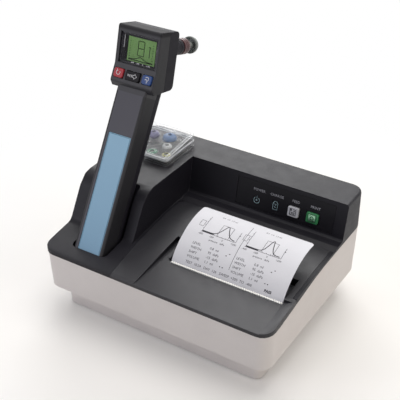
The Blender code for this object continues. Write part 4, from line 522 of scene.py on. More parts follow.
def brushed(name, colour, roughness, metallic=1.0):
    made = Recipe(name, Metallic=metallic)
    spot = made.place()
    lines = made.noise(made.stretched(spot, (1.0, 30.0, 30.0)), 160.0, 4.0, 0.7)
    cloud = made.noise(spot, 60.0, 3.0)
    made.set(Base_Color=made.mix(lines, shade(colour, 0.82), shade(colour, 1.08)),
             Roughness=(roughness - 0.08 + lines * 0.12 + cloud * 0.10).clipped())
    made.bump(lines, 0.10, 0.05)
    return made.material


def soft(name, colour, roughness):
    # silicone and rubber, matt with a little dust
    made = Recipe(name, Sheen_Weight=0.15, Specular_IOR_Level=0.35)
    spot = made.place()
    dust = made.noise(spot, 700.0, 3.0, 0.7)
    cloud = made.noise(spot, 120.0, 3.0)
    made.set(Base_Color=made.mix(made.ramp(dust * 0.5 + cloud * 0.5, (0.4, 0.0), (0.68, 1.0)),
                                 shade(colour, 0.9), shade(colour, 1.1)),
             Roughness=(roughness + (cloud - 0.5) * 0.18).clipped())
    made.bump(dust, 0.10, 0.05)
    return made.material


def clearPlastic(name, colour, body, rim, rims=(), around=None, roughness=0.08, specular=0.7):
    # see-through moulding, denser at its rims: frosted, and in part a painted highlight where a rim
    # must look up; each is axis, low, high, whether it must look up
    made = Recipe(name, Specular_IOR_Level=specular)
    spot = made.place(around)
    haze = made.noise(spot, 180.0, 4.0, 0.65)
    density = made.ramp(haze, (0.3, 0.0), (0.75, 1.0)) * 0.05 + body
    frostAndHighlight = made.edges(0.6)
    lines = made.axes(spot)
    level = made.axes(made.add("ShaderNodeTexCoord", output="Normal"))[2] > 0.5
    for axis, low, high, top in rims:
        band = (lines[axis] > low * mm) * (lines[axis] < high * mm)
        # a rim that must look up is frosted only on faces that look up, where it is also a painted
        # highlight
        frostAndHighlight = frostAndHighlight.above(band * level if top else band)
    made.set(Base_Color=colour, Alpha=(density + frostAndHighlight * (rim - body)).clipped(),
             Roughness=(roughness + frostAndHighlight * 0.35 + haze * 0.05).clipped())
    made.bump(haze, 0.03, 0.1)
    return made.material


probeTones = {
    # side is a painted shade, laid on the sides, the head and the top
    "front": "#302F38", "side": "#0E0D12", "worn": "#5F5E66",
    # where the front gives way to the sides on the handle and the head, in millimetres
    "handleEdge": 13.3, "headEdge": 21.2, "headFrom": 140.0, "headTop": 33.0,
}


def probeShell(name):
    # the probe's plastic: its front tone, with painted shade that darkens the head and turns the
    # sides and the top near black, and a matt top
    made = Recipe(name, Specular_IOR_Level=0.42)
    front, paintedShade = probeTones["front"], probeTones["side"]
    spot = made.place(probeFrame)
    across, inwards, along = made.axes(spot)
    height = made.axes(made.place(headFrame))[2]
    cloud = made.noise(spot, 22.0, 5.0, 0.6)
    grit = made.noise(spot, 2500.0, 2.0, 0.6)
    rub = made.noise(made.stretched(spot, (3.0, 3.0, 1.0)), 90.0, 4.0, 0.7)
    onHead = along > probeTones["headFrom"] * mm
    edge = (onHead * probeTones["headEdge"] * mm
            + (1.0 - onHead) * probeTones["handleEdge"] * mm)
    # painted shade on the head's top, which is also made matt
    shadedMattRoof = made.ramp(height / (probeTones["headTop"] * mm), (0.90, 0.0), (0.96, 1.0))
    side = abs(across) > edge
    tone = made.mix(cloud * 0.7 + grit * 0.3, shade(front, 0.86), shade(front, 1.12))
    # painted shade: the head is darker than the handle
    tone = made.mix(onHead * 0.75, tone, paintedShade)
    # painted shade: the sides and the top turn near black
    tone = made.mix(side.above(shadedMattRoof), tone, paintedShade)
    worn = made.edges(0.5, 0.01) * made.ramp(rub, (0.38, 0.15), (0.62, 1.0)) * 0.28
    made.set(Base_Color=made.mix(worn.clipped(), tone, probeTones["worn"]),
             Roughness=(0.40 + shadedMattRoof * 0.32 + side * 0.14 + rub * 0.08 + grit * 0.04).clipped())
    made.bump(grit, 0.12, 0.12)
    return made.material


def circuit(name, colour):
    # green board with pale tracks and a speckle of solder
    made = Recipe(name, Specular_IOR_Level=0.45)
    spot = made.place()
    tracks = made.add("ShaderNodeTexBrick", {"offset": 0.35}, {
        "Vector": spot, "Scale": 150.0, "Mortar Size": 0.03, "Color1": "#000000",
        "Color2": "#000000", "Mortar": "#FFFFFF"})
    solder = made.ramp(made.noise(spot, 420.0, 1.0), (0.66, 0.0), (0.70, 1.0))
    board = made.mix(tracks * 0.4, colour, shade(colour, 1.9))
    made.set(Base_Color=made.mix(solder, board, "#B9BCC0"), Metallic=solder * 0.8,
             Roughness=(0.38 + solder * 0.1 + made.noise(spot, 80.0) * 0.08).clipped())
    made.bump(tracks, 0.25, 0.05)
    return made.material


def paperStock(name, colour):
    made = Recipe(name, Specular_IOR_Level=0.25, Sheen_Weight=0.05)
    spot = made.place()
    fibre = made.noise(made.stretched(spot, (1.0, 2.5, 1.0)), 900.0, 4.0, 0.7)
    cloud = made.noise(spot, 35.0, 3.0)
    made.set(Base_Color=made.mix(made.ramp(fibre * 0.5 + cloud * 0.5, (0.35, 0.0), (0.65, 1.0)),
                                 shade(colour, 0.96), shade(colour, 1.02)),
             Roughness=(0.62 + fibre * 0.12).clipped())
    made.bump(fibre, 0.08, 0.03)
    return made.material


def lcdGlass(name, colour):
    # green reflective display with a faint painted glow, lighter towards its top, and a little
    # uneven like a liquid crystal
    made = Recipe(name, Specular_IOR_Level=0.4, Emission_Strength=0.04)
    height = made.axes(made.place(headFrame))[2]
    cloud = made.noise(made.place(), 90.0, 3.0)
    weave = made.noise(made.place(), 1600.0, 1.0)
    fall = made.ramp((height - 4.1 * mm) / (21.4 * mm), (0.0, 0.0), (1.0, 1.0))
    green = made.mix(fall, shade(colour, 0.78), shade(colour, 1.10))
    green = made.mix(cloud * 0.25 + weave * 0.1, green, shade(colour, 0.80))
    # the same green also drives the faint painted glow
    made.set(Base_Color=green, Emission_Color=green, Roughness=(0.30 + cloud * 0.1).clipped())
    return made.material


def labelSheet(name, low, high, cloudy):
    # satin polyester label with a faint fall of tone along it
    made = Recipe(name, Specular_IOR_Level=0.4, Coat_Weight=0.2, Coat_Roughness=0.25)
    height = made.axes(made.place(probeFrame))[2]
    grit = made.noise(made.place(), 1500.0, 2.0)
    cloud = made.noise(made.place(), 40.0, 3.0)
    fall = made.ramp(height / (102.5 * mm), (0.0, 0.0), (1.0, 1.0))
    made.set(Base_Color=made.mix(cloud * 0.3, made.mix(fall, low, high), cloudy),
             Roughness=(0.42 + grit * 0.12).clipped())
    made.bump(grit, 0.05, 0.03)
    return made.material


plastics = {
    # colour, roughness, grain, grain size, mottle, wear, specular, worn colour, coat
    "casePale": ("#CFCAC8", 0.52, 0.10, 0.5, 0.03, 0.10, 0.4, "#DAD5D0"),
    "coverDark": ("#17161C", 0.44, 0.12, 0.5, 0.10, 0.22, 0.20, "#47464E"),
    "lidDark": ("#17161C", 0.42, 0.12, 0.5, 0.10, 0.22, 0.42, "#47464E"),
    "shellRear": ("#1D1C22", 0.55, 0.12, 0.4, 0.08, 0.25, 0.12, "#55545C"),
    "panelDark": ("#131217", 0.40, 0.04, 0.35, 0.06, 0.12, 0.20),
    "blackInner": ("#1B1B1E", 0.60, 0.10, 0.5, 0.05, 0.0, 0.25),
    "keyBlack": ("#0D0C10", 0.45, 0.06, 0.3, 0.05, 0.25, 0.15),
    "keyRed": ("#9A2630", 0.42, 0.06, 0.3, 0.05, 0.20, 0.35, "#C8525A", 0.05),
    "keyBlue": ("#1B3A70", 0.42, 0.06, 0.3, 0.05, 0.20, 0.35, "#4A70B4", 0.05),
    "keyGrey": ("#BFC0C6", 0.42, 0.06, 0.3, 0.03, 0.15, 0.45, "#E4E4E8", 0.1),
    "keyGreen": ("#2F7A4B", 0.42, 0.06, 0.3, 0.05, 0.15, 0.45, "#79B890", 0.1),
    "collarBrown": ("#4A2A2C", 0.34, 0.04, 0.3, 0.08, 0.30, 0.5, "#7E5456"),
    "nylonWhite": ("#E6E4E0", 0.36, 0.03, 0.3, 0.02, 0.0, 0.5),
    "gearNylon": ("#DAD6C8", 0.42, 0.04, 0.3, 0.03, 0.0, 0.5),
    "batteryWrap": ("#2C5C49", 0.32, 0.03, 0.6, 0.05, 0.10, 0.5),
    "markWhite": ("#DEDFE3", 0.55, 0.02, 0.2, 0.03, 0.0, 0.3),
    "markSilver": ("#A4A5AC", 0.55, 0.02, 0.2, 0.06, 0.0, 0.3),
    "markTeal": ("#A9C6CF", 0.50, 0.02, 0.2, 0.05, 0.0, 0.3),
    "markDark": ("#2B2B31", 0.55, 0.02, 0.2, 0.05, 0.0, 0.3),
    "markGreen": ("#1F5C38", 0.50, 0.02, 0.2, 0.05, 0.0, 0.3),
    "greenPale": ("#8FBF9F", 0.45, 0.03, 0.3, 0.04, 0.0, 0.35),
    "labelLine": ("#3D6C80", 0.50, 0.02, 0.2, 0.05, 0.0, 0.3),
    "lcdInk": ("#10190D", 0.45, 0.0, 0.2, 0.05, 0.0, 0.3),
    "printInk": ("#333239", 0.70, 0.0, 0.2, 0.12, 0.0, 0.2),
}
metals = {
    # colour, roughness, metallic
    "steelDull": ("#A9ABAE", 0.38), "steelBright": ("#D9DADC", 0.24),
    "tearSteel": ("#FAF9F4", 0.50, 0.25), "brass": ("#B8924B", 0.30),
}
rubbers = {
    # colour, roughness
    "rubberBlack": ("#26262A", 0.72), "tipGrey": ("#767B79", 0.48), "tipBlue": ("#3F6797", 0.50),
    "tipWhite": ("#B4B6B7", 0.50), "tipGreen": ("#3A7358", 0.50), "tipPurple": ("#55507F", 0.50),
    "tipYellow": ("#9C9A5A", 0.50),
}
clears = {
    # colour, body, rim, rims, frame, roughness, specular
    "windowTint": ("#1C1B22", 0.02, 0.25, (), None, 0.05, 0.25),
    "clearTray": ("#C6CACE", 0.03, 0.45, [(2, 4.4, 5.4, False)], boxFrame),
    "clearLid": ("#D3D6DA", 0.04, 0.60, [
        (0, 48.9, 51.0, True), (0, -1.0, 1.1, True), (1, -1.0, 1.1, True), (1, 48.9, 51.0, True),
        (0, 45.9, 46.5, True), (1, 2.8, 3.4, True), (1, 44.8, 45.5, True), (2, 5.3, 6.0, False)],
        boxFrame),
}
specials = {"shellFront": (probeShell,), "boardGreen": (circuit, "#1F5A3A"),
            "paperWhite": (paperStock, "#D8D8DD"), "lcdGreen": (lcdGlass, "#66904A"),
            "labelBlue": (labelSheet, "#7199B5", "#82AAC4", "#7598B0")}
finishes = {name: make(name, *values) for name, (make, *values) in specials.items()}
for make, table in ((moulded, plastics), (brushed, metals), (soft, rubbers),
                    (clearPlastic, clears)):
    finishes.update((name, make(name, *values)) for name, values in table.items())
print("finishes mixed:", len(finishes))

arm = {"inner": -45.5, "outer": -116.0, "foot": 74.2, "rear": 46.3, "radius": 3.4, "near": 0.05,
       "sharp": 50.0}


def onArm(edge):
    # the arm's two long upper edges, and the corner where its inner wall meets the tower
    first, second = (vert.co / mm for vert in edge.verts)
    beside = any(max(abs(first.x - arm[wall]), abs(second.x - arm[wall])) < arm["near"]
                 for wall in ("inner", "outer"))
    above = min(first.z, second.z) > arm["foot"] and max(first.y, second.y) < arm["rear"]
    folded = len(edge.link_faces) == 2 and edge.calc_face_angle() > math.radians(arm["sharp"])
    return beside and above and folded


shells = {
    # node: piece, finish, edge in millimetres, slot, steps round the edge
    "lower_case": ("caseShell", "casePale", 0.35, "pale_plastic", 3),
    "top_cover": ("armAndTower", "coverDark", 0.45, "dark_plastic", 3, onArm, arm["radius"]),
    "printer_cover": ("printerLid", "lidDark", 0.30, "dark_plastic"),
    "control_panel": ("keyPanel", "panelDark", 0.15, "panel_plastic"),
    "base_plate": ("bottomPlate", "blackInner", 0.3, "dark_plastic"),
    "probe_front_shell": ("probeFront", "shellFront", 0.5, "dark_plastic", 3),
    "probe_rear_shell": ("probeRear", "shellRear", 0.6, "shell_grey", 3),
}
for node, settings in shells.items():
    refined(node, *settings)
print("shells refined")

innerWorks = [
    # nodes, finish, edge in millimetres, slot
    ("printer_frame", "steelDull", 0.15, "steel"),
    ("print_head", "steelBright", 0.15, "bright_metal"),
    ("drive_motor", "steelDull", 0.15, "steel"),
    ("motor_gear", "steelDull", 0.0, "steel"),
    ("platen_gear", "gearNylon", 0.0, "pale_gear"),
    ("paper_roll", "paperWhite", 0.1, "paper"),
    ("roll_spindle", "blackInner", 0.15, "dark_plastic"),
    ("cover_pin_left cover_pin_right", "steelBright", 0.1, "steel"),
    ("main_board panel_board key_board probe_board", "boardGreen", 0.0, "board_green"),
    ("battery_pack", "batteryWrap", 0.4, "battery_wrap"),
    ("pump_motor", "steelDull", 0.3, "steel"),
    ("charge_pad_left charge_pad_right contact_pin_left contact_pin_right", "brass", 0.1, "brass"),
    ("power_inlet", "blackInner", 0.2, "dark_plastic"),
    ("tear_bar", "tearSteel", 0.08, "bright_metal"),
    ("tip_box_pin", "steelBright", 0.08, "steel"),
    ("platen_roller", "rubberBlack", 0.15, "rubber"),
]


def camel(node):
    first, *others = node.split("_")
    return first + "".join(word.title() for word in others)


for group, *settings in innerWorks:
    for node in group.split():
        roller = refined(node, camel(node), *settings)

platen = {"y": 50.5, "z": 49.0, "shaft": 2.3}
axle = baseFrame @ (Vector((0.0, platen["y"], platen["z"])) * mm)
roller.data.materials.append(finishes["steelBright"])
for face in roller.data.polygons:
    if math.hypot(face.center.y - axle.y, face.center.z - axle.z) < platen["shaft"] * mm:
        face.material_index = 1

# from the dimple in its middle, over the sole and up its side
foot = {"sides": 40, "outline": [(2.8, 0.5), (3.2, 0.0), (5.2, 0.0), (6.4, 0.12), (6.9, 0.6),
                                 (7.0, 1.2), (6.9, 2.4)]}
for side in ("front_left", "front_right", "rear_left", "rear_right"):
    low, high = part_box("foot_" + side)
    middle = (low + high) / 2
    pad = turned(camel("foot_" + side), foot["outline"],
                 Matrix.Translation((middle.x, middle.y, low.z)), foot["sides"])
    finished(smoothed(pad), "rubberBlack", "base", "rubber", "foot_" + side)

screw = {"inset": 7.0, "proud": 0.35, "sides": 24,
         "outline": [(1.1, 0.75), (1.3, 0.0), (2.5, 0.0), (2.9, 0.35), (2.9, 0.6)]}
plateLow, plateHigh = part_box("base_plate")
reach = screw["inset"] * mm
for side, x in (("Left", plateLow.x + reach), ("Right", plateHigh.x - reach)):
    for end, y in (("Front", plateLow.y + reach), ("Rear", plateHigh.y - reach)):
        at = Matrix.Translation((x, y, plateLow.z - screw["proud"] * mm))
        head = turned("plateScrew" + end + side, screw["outline"], at, screw["sides"])
        finished(smoothed(head, 35.0), "steelBright", "base", "steel")
print("works and fasteners made")

displayBlocks = {
    # piece: low corner, high corner, rounding, front edge, finish, slot, node
    "displayWindow": ((-18.95, 0.6, 1.4), (19.55, 1.4, 28.2), 0.6, 0.15, "windowTint",
                      "clear_plastic", "display_window"),
    "displayBezel": ((-18.7, 1.95, 1.7), (19.3, 4.0, 27.9), 0.8, 0.1, "panelDark", "lcd_green",
                     "display_module"),
    "displayScreen": ((-11.5, 1.7, 4.1), (17.5, 1.93, 25.5), 0.3, 0.05, "lcdGreen", "lcd_green"),
    "displayStrip": ((-14.9, 1.78, 5.4), (-12.0, 1.93, 25.3), 0.2, 0.05, "keyBlack", "lcd_green"),
}
for name, (low, high, corner, edge, finish, *others) in displayBlocks.items():
    finished(block(name, low, high, headFrame, corner, edge), finish, "probe", *others)

reading = {
    # the figure: left, foot, width, height, gap between its strokes
    "figure": (-0.8, 10.2, 6.4, 12.8, 0.25), "lit": "abcdefg",
    "levels": (6.2, 2.2, 8), "ticks": [(-9.6, -8.7), (14.2, 15.1)],  # foot, pitch, count
    "axis": (-10.0, 15.8, 5.6), "bar": (11.4, 10.5, 19.5, 1.0),
    # the curve: left end, foot, height, middle, spread, steps
    "curve": (-9.0, 6.3, 2.6, 11.5, 4.2, 24),
    "line": 0.62, "thick": 0.05, "depth": 1.62,
}


def figureLines(left, low, width, height, gap, lit):
    # seven-segment figure: the lit segments as short strokes
    right, middle, high = left + width, low + height / 2, low + height
    segments = {
        "a": [(left + gap, high), (right - gap, high)],
        "b": [(right, middle + gap), (right, high - gap)],
        "c": [(right, low + gap), (right, middle - gap)],
        "d": [(left + gap, low), (right - gap, low)],
        "e": [(left, low + gap), (left, middle - gap)],
        "f": [(left, middle + gap), (left, high - gap)],
        "g": [(left + gap, middle), (right - gap, middle)],
    }
    return [segments[name] for name in lit]


lcdLines = figureLines(*reading["figure"], reading["lit"])
low, pitch, count = reading["levels"]
for left, right in reading["ticks"]:
    lcdLines += [[(left, low + pitch * step), (right, low + pitch * step)] for step in range(count)]
left, right, low = reading["axis"]
lcdLines += [[(left, low), (right, low)]]
left, low, peak, middle, spread, steps = reading["curve"]
lcdLines += [[(left + step, low + peak * math.exp(-((step - middle) / spread) ** 2))
              for step in range(steps)]]
x, low, high, half = reading["bar"]
lcdLines += [[(x, low), (x, high)], [(x - half, high), (x + half, high)]]
marked("lcdFigures", lcdLines, reading["line"], headFrame, reading["depth"], "lcdInk", "probe",
       "lcd_green", reading["thick"])

bezelScale = {
    "words": "-400    -200      0      +200", "size": 1.9, "at": (3.0, 2.95), "bold": 0.06,
    "ticks": (18.35, 7.5, 2.1, 1.3, 6),  # across, low end, pitch, length, count
    "bar": [(-15.9, 14.5), (-15.9, 25.2)], "line": 0.55, "depth": 1.9,
}
x, low, pitch, tick, count = bezelScale["ticks"]
ticks = [[(x, low + pitch * step), (x, low + tick + pitch * step)] for step in range(count)]
scaleMarks = joined("bezelMarks", [
    lettered(bezelScale["words"], bezelScale["size"], bezelScale["at"], bold=bezelScale["bold"]),
    stroked("bezelTicks", ticks + [bezelScale["bar"]], bezelScale["line"])])
finished(fronted(scaleMarks, headFrame, bezelScale["depth"]), "markWhite", "probe", "lcd_green")


def keyTop(name, node, body, middle, width, finish, slot, face, around):
    # makes a key and gives the frame that its marks are drawn in
    half = face["height"] / 2
    key = block(name, (middle - width / 2, face["front"], face["middle"] - half),
                (middle + width / 2, face["rear"], face["middle"] + half), around,
                face["corner"], face["edge"])
    finished(smoothed(key), finish, body, slot, node)
    return leaning(around, (middle, 0.0, face["middle"]))


probeKeys = {
    # piece: node, body, middle, width, finish, slot
    "redKey": ("red_button", "red_key", -15.0, 9.8, "keyRed", "red_key"),
    "arrowKey": ("select_button", "select_key", 0.0, 15.0, "keyBlack", "dark_plastic"),
    "blueKey": ("blue_button", "blue_key", 15.0, 9.8, "keyBlue", "blue_key"),
}
keyFace = {"front": -4.8, "rear": 0.7, "middle": 154.6, "height": 8.4, "corner": 2.1, "edge": 0.7,
           "lift": 0.02, "line": 0.55}
keyMarks = {
    "redKey": [circleLine(0.0, 0.2, 1.9, 120.0, 400.0, 18),
               [(-1.9, 2.9), (-0.7, 1.7), (-2.3, 1.1)]],
    "arrowKey": [
        [(0.6, 1.0), (2.2, 1.0), (2.2, 2.3), (4.6, 0.0), (2.2, -2.3), (2.2, -1.0), (0.6, -1.0),
         (0.6, 1.0)],
        [(-4.9, 0.7), (-4.0, 0.7)], [(-4.5, 0.7), (-4.5, -0.8)], [(-3.4, 0.7), (-3.4, -0.8)],
        [(-2.7, 0.7), (-1.9, 0.7)], [(-2.7, -0.05), (-2.0, -0.05)], [(-2.7, -0.8), (-1.9, -0.8)],
        [(-1.2, 0.7), (-0.4, 0.7)], [(-1.2, -0.8), (-0.4, -0.8)], [(-0.4, 0.7), (-0.4, -0.8)]],
    "blueKey": [[(0.2, -2.6), (0.9, -1.2), (1.9, 0.4), (1.7, 1.9), (0.3, 2.6), (-1.2, 2.0)],
                [(-1.6, -0.2), (-0.3, 0.9), (0.3, -0.9)]],
}
for name, (node, body, *settings) in probeKeys.items():
    at = keyTop(name, node, body, *settings, keyFace, probeFrame)
    marked(name + "Mark", keyMarks[name], keyFace["line"], at, keyFace["front"] - keyFace["lift"],
           "markWhite", body)

label = {"low": (-11.1, 0.2, -10.0), "high": (12.5, 0.7, 102.5), "corner": 0.8, "edge": 0.08,
         "line": 0.55, "inset": 0.7, "lift": 0.01}
plate = block("handleLabel", label["low"], label["high"], probeFrame, label["corner"],
              label["edge"])
finished(plate, "labelBlue", "probe", "label_blue", "probe_label")
(left, front, low), (right, rear, high) = label["low"], label["high"]
inset = label["inset"]
marked("labelBorder", [boxLine(left + inset, low + inset, right - inset, high - inset)],
       label["line"], probeFrame, front - label["lift"], "labelLine", "probe", "label_blue")

nose = {
    "height": 12.5,
    # piece: distance behind the face, outline, finish, slot, node
    "parts": {
        "noseBarrel": (29.1, [
            (7.9, 0.0), (8.6, 0.25), (8.8, 0.9), (8.2, 15.0), (7.46, 31.4), (7.0, 31.6),
            (7.0, 32.2), (7.42, 32.4), (7.2, 36.4), (6.9, 37.0), (6.3, 37.2)],
            "shellRear", "shell_grey", "nose_cone"),
        "noseCollar": (66.6, [
            (6.4, 0.0), (7.4, 0.4), (7.6, 1.2), (7.6, 2.6), (7.2, 2.8), (7.2, 3.3), (7.6, 3.5),
            (7.6, 4.9), (7.2, 5.1), (7.2, 5.6), (7.6, 5.8), (7.6, 8.2), (7.3, 9.1), (6.4, 9.6)],
            "collarBrown", "collar_brown", "nose_collar"),
        "noseCone": (76.5, [
            (5.0, 0.0), (5.55, 0.25), (5.6, 0.7), (4.8, 3.3), (4.4, 3.6), (2.4, 3.9), (2.2, 4.3),
            (2.2, 16.2), (2.0, 16.5), (0.95, 16.5), (0.9, 16.3), (0.9, 8.0)],
            "nylonWhite", "white_plastic", "probe_cone"),
    },
    # ear tip: distance, bore, radius, length
    "tip": (80.8, 2.5, 8.2, 12.5),
}


def backward(distance):
    # a frame on the nose's axis whose z looks out of the back of the head
    return leaning(headFrame, (0.0, distance, nose["height"]), -90.0)


def mushroom(bore, radius, length, wall=0.95):
    # closed outline of an ear tip: dome, rolled rim, hollow skirt and stem
    def dome(turn, out, drop):
        angle = math.radians(turn)
        return (bore + (out - bore) * math.sin(angle),
                length - drop - 0.6 * length * (1 - math.cos(angle)))
    outer = [dome(turn, radius, 0.0) for turn in range(18, 91, 12)]
    rim = [(radius - wall * inwards, 0.4 * length - wall * down)
           for inwards, down in ((0.15, 0.35), (0.6, 0.55), (1.0, 0.25))]
    stem = bore + 0.45 * wall + 0.5
    under = [dome(turn, radius - wall, wall * 2.4) for turn in range(78, 30, -12)]
    under = [point for point in under if point[0] > stem + 0.2]
    start = (bore, length * 0.5)
    return [start, (bore, length - 0.05), (bore + 0.25, length), *outer, *rim, *under,
            (stem, under[-1][1] - 0.2), (stem, 0.25), (stem - 0.2, 0.0), (bore + 0.1, 0.0),
            (bore, 0.15), start]


def earTip(name, around, sides, finish, body, slot, node, *sizes):
    tip = turned(name, mushroom(*sizes), around, sides, "NOTHING")
    finished(smoothed(tip, 50.0, False), finish, body, slot, node)


for name, (distance, outline, finish, *others) in nose["parts"].items():
    finished(smoothed(turned(name, outline, backward(distance))), finish, "probe", *others)
distance, *sizes = nose["tip"]
earTip("earTip", backward(distance), 48, "tipGrey", "ear_tip", "tip_grey", "probe_ear_tip", *sizes)
print("probe dressed")

box = {"side": 50.0, "floor": 1.6, "bore": 2.2, "wall": 0.8, "sides": 40}
spareTips = {
    # radius, height, places across and along as shares of the box
    "blue": (7.0, 7.5, 0.54, 0.80), "white": (5.2, 6.0, 0.69, 0.485),
    "green": (6.5, 4.75, 0.55, 0.19), "purple": (5.5, 7.0, 0.20, 0.76),
    "yellow": (5.0, 4.75, 0.845, 0.22),
}
for colour, (radius, height, across, along) in spareTips.items():
    node = "spare_tip_" + colour
    at = leaning(boxFrame, (across * box["side"], along * box["side"], box["floor"]))
    earTip(camel(node), at, box["sides"], "tip" + colour.title(), "tip_box", "tip_" + colour, node,
           box["bore"], radius, height, box["wall"])
refined("tip_tray", "tipTray", "clearTray", 0.2, "clear_plastic")
refined("tip_lid", "tipLid", "clearLid", 0.25, "clear_lid")
print("ear-tip box filled")

panel = {
    "front": 0.4, "middle": 12.9, "lift": 0.02, "wordHeight": 22.7, "wordSize": 3.5,
    "words": {"POWER": 28.55, "CHARGE": 46.8, "FEED": 66.1, "PRINT": 85.45},
}
words = [lettered(word, panel["wordSize"], (x, panel["wordHeight"]))
         for word, x in panel["words"].items()]
wordMarks = fronted(joined("panelWords", words), faceFrame, panel["front"] - panel["lift"])
finished(wordMarks, "markSilver", "base", "panel_plastic")

lamps = {
    # middles of the two lamps, then the lenses
    "power": 26.9, "charge": 46.3, "half": 3.0, "low": 8.6, "high": 17.2, "rear": 5.7,
    "corner": 1.2, "edge": 0.1, "outline": [(3.45, 0.4), (3.6, 0.55), (3.6, 5.7)], "sides": 40,
    # the signs: stroke width, ring's drop and radius, its gap in degrees, dot
    "line": 0.45, "drop": 0.5, "ring": 2.9, "gap": (125.0, 415.0, 26), "dot": 0.55,
    "stem": (1.2, 3.6),
}
lens = block("chargeLens", (lamps["charge"] - lamps["half"], panel["front"], lamps["low"]),
             (lamps["charge"] + lamps["half"], lamps["rear"], lamps["high"]), faceFrame,
             lamps["corner"], lamps["edge"])
finished(smoothed(lens), "panelDark", "base", "lamp_clear", "charge_lamp")
lens = turned("powerLens", lamps["outline"],
              leaning(faceFrame, (lamps["power"], 0.0, panel["middle"]), -90.0), lamps["sides"])
finished(smoothed(lens), "panelDark", "base", "lamp_clear", "power_lamp")

x, z = lamps["power"], panel["middle"]
stemLow, stemHigh = lamps["stem"]
lampLines = [circleLine(x, z - lamps["drop"], lamps["ring"], *lamps["gap"]),
             [(x, z + stemLow), (x, z + stemHigh)],
             circleLine(x, z - lamps["drop"], lamps["dot"], steps=12)]
battery = [[(-2.4, -3.8), (2.4, -3.8), (2.4, 2.1), (1.3, 3.2), (1.3, 3.9), (-1.3, 3.9),
            (-1.3, 3.2), (-2.4, 2.1), (-2.4, -3.8)],
           [(-1.1, 1.3), (1.1, 1.3), (-1.0, -1.6), (1.2, -1.6)]]
lampLines += [[(lamps["charge"] + across, z + up) for across, up in line] for line in battery]
marked("lampMarks", lampLines, lamps["line"], faceFrame, panel["front"] - panel["lift"],
       "markTeal", "base", "panel_plastic")

pushKeys = {
    # piece: node, body, middle, width, finish, slot
    "feedKey": ("feed_button", "feed_key", 65.0, 10.8, "keyGrey", "grey_key"),
    "printKey": ("print_button", "print_key", 84.0, 11.6, "keyGreen", "green_key"),
}
pushFace = {"front": -1.4, "rear": 3.2, "middle": panel["middle"], "height": 9.6, "corner": 1.3,
            "edge": 0.6, "line": 0.75, "inlay": 7.2, "inlayThick": 0.02}
pushMarks = {
    # piece: ink, lines
    "feedKey": ("markDark", [
        [(-2.9, -2.9), (-2.9, 2.9), (-0.9, 2.9)], [(-1.8, 0.6), (-1.8, 3.2)],
        [(-2.7, 1.7), (-0.9, 1.7)], [(0.2, 2.6), (2.9, 2.6), (2.9, -2.9), (-2.9, -2.9)],
        [(-1.8, -0.5), (2.0, -0.5)], [(-1.8, -1.7), (2.0, -1.7)], [(0.6, 1.1), (2.2, 1.1)]]),
    "printKey": ("markGreen", [
        boxLine(-3.6, -3.6, 3.6, 3.6), circleLine(0.0, 0.0, 1.5, steps=20),
        [(-2.4, 2.1), (-1.1, 2.1)], [(1.1, -2.1), (2.4, -2.1)]]),
}
for name, (node, body, *settings) in pushKeys.items():
    at = keyTop(name, node, body, *settings, pushFace, faceFrame)
    depth = pushFace["front"] - panel["lift"]
    if name == "printKey":
        half = pushFace["inlay"] / 2
        marked(name + "Inlay", [[(-half, 0.0), (half, 0.0)]], pushFace["inlay"], at, depth,
               "greenPale", body, thick=pushFace["inlayThick"])
    ink, lines = pushMarks[name]
    marked(name + "Mark", lines, pushFace["line"], at, depth - 2 * panel["lift"], ink, body)
print("panel marked")

paper = {
    "left": -4.0, "width": 110.0, "foot": (42.6, 65.4), "arch": (55.0, 26.5), "tail": 8.5,
    "corner": 2.5, "thick": 0.14, "rows": 96, "columns": 24, "lift": 0.03, "steps": 12,
    # shares of the arch's length and rise that the strip passes through
    "shares": [(0.0, 0.0), (0.06, 0.21), (0.19, 0.48), (0.34, 0.69), (0.48, 0.84),
               (0.66, 0.955), (0.83, 1.0), (1.0, 0.997)],
}


def stripPath():
    # points along the strip's side view, from the tail in the slot to its free end
    across, up = paper["arch"]
    y, z = paper["foot"]
    knots = [Vector((y, z - paper["tail"]))]
    knots += [Vector((y + a * across, z + b * up)) for a, b in paper["shares"]]
    knots = [knots[0] * 2 - knots[1], *knots, knots[-1] * 2 - knots[-2]]
    points = []
    for number in range(1, len(knots) - 2):
        before, start, end, after = knots[number - 1:number + 3]
        for step in range(paper["steps"]):
            t = step / paper["steps"]
            points.append((2 * start + (end - before) * t
                           + (2 * before - 5 * start + 4 * end - after) * t ** 2
                           + (3 * start - before - 3 * end + after) * t ** 3) / 2)
    return points + [knots[-2]]


pathPoints = stripPath()
pathReach = [0.0]
for start, end in zip(pathPoints, pathPoints[1:]):
    pathReach.append(pathReach[-1] + (end - start).length)
stripLength = pathReach[-1] - paper["tail"]


def onStrip(u, v, lift=0.0):
    # the place of a printed point: u across from the left edge, v along from the outlet
    along = min(max(v + paper["tail"], 0.0), pathReach[-1] - tiny)
    number = next(number for number in range(1, len(pathReach)) if pathReach[number] > along)
    start, end = pathPoints[number - 1], pathPoints[number]
    share = (along - pathReach[number - 1]) / (pathReach[number] - pathReach[number - 1])
    ahead = (end - start).normalized()
    spot = start.lerp(end, share) + Vector((-ahead.y, ahead.x)) * lift
    return baseFrame @ (Vector((paper["left"] + u, spot.x, spot.y)) * mm)


def makeStrip():
    deselect()
    bpy.ops.mesh.primitive_grid_add(x_subdivisions=paper["columns"], y_subdivisions=paper["rows"],
                                    size=1.0)
    sheet = bpy.context.object
    sheet.name = "printedStrip"
    half, corner = paper["width"] / 2, paper["corner"]
    for vert in sheet.data.vertices:
        along = (vert.co.y + 0.5) * pathReach[-1] - paper["tail"]
        past = max(along - (stripLength - corner), 0.0)
        reach = half - corner + math.sqrt(max(corner ** 2 - past ** 2, 0.01))
        vert.co = onStrip(half + vert.co.x * 2 * reach, along)
    modified(sheet, "SOLIDIFY", thickness=paper["thick"] * mm, offset=-1.0)
    finished(smoothed(sheet, 50.0, False), "paperWhite", "cover", "paper", "paper_sheet")


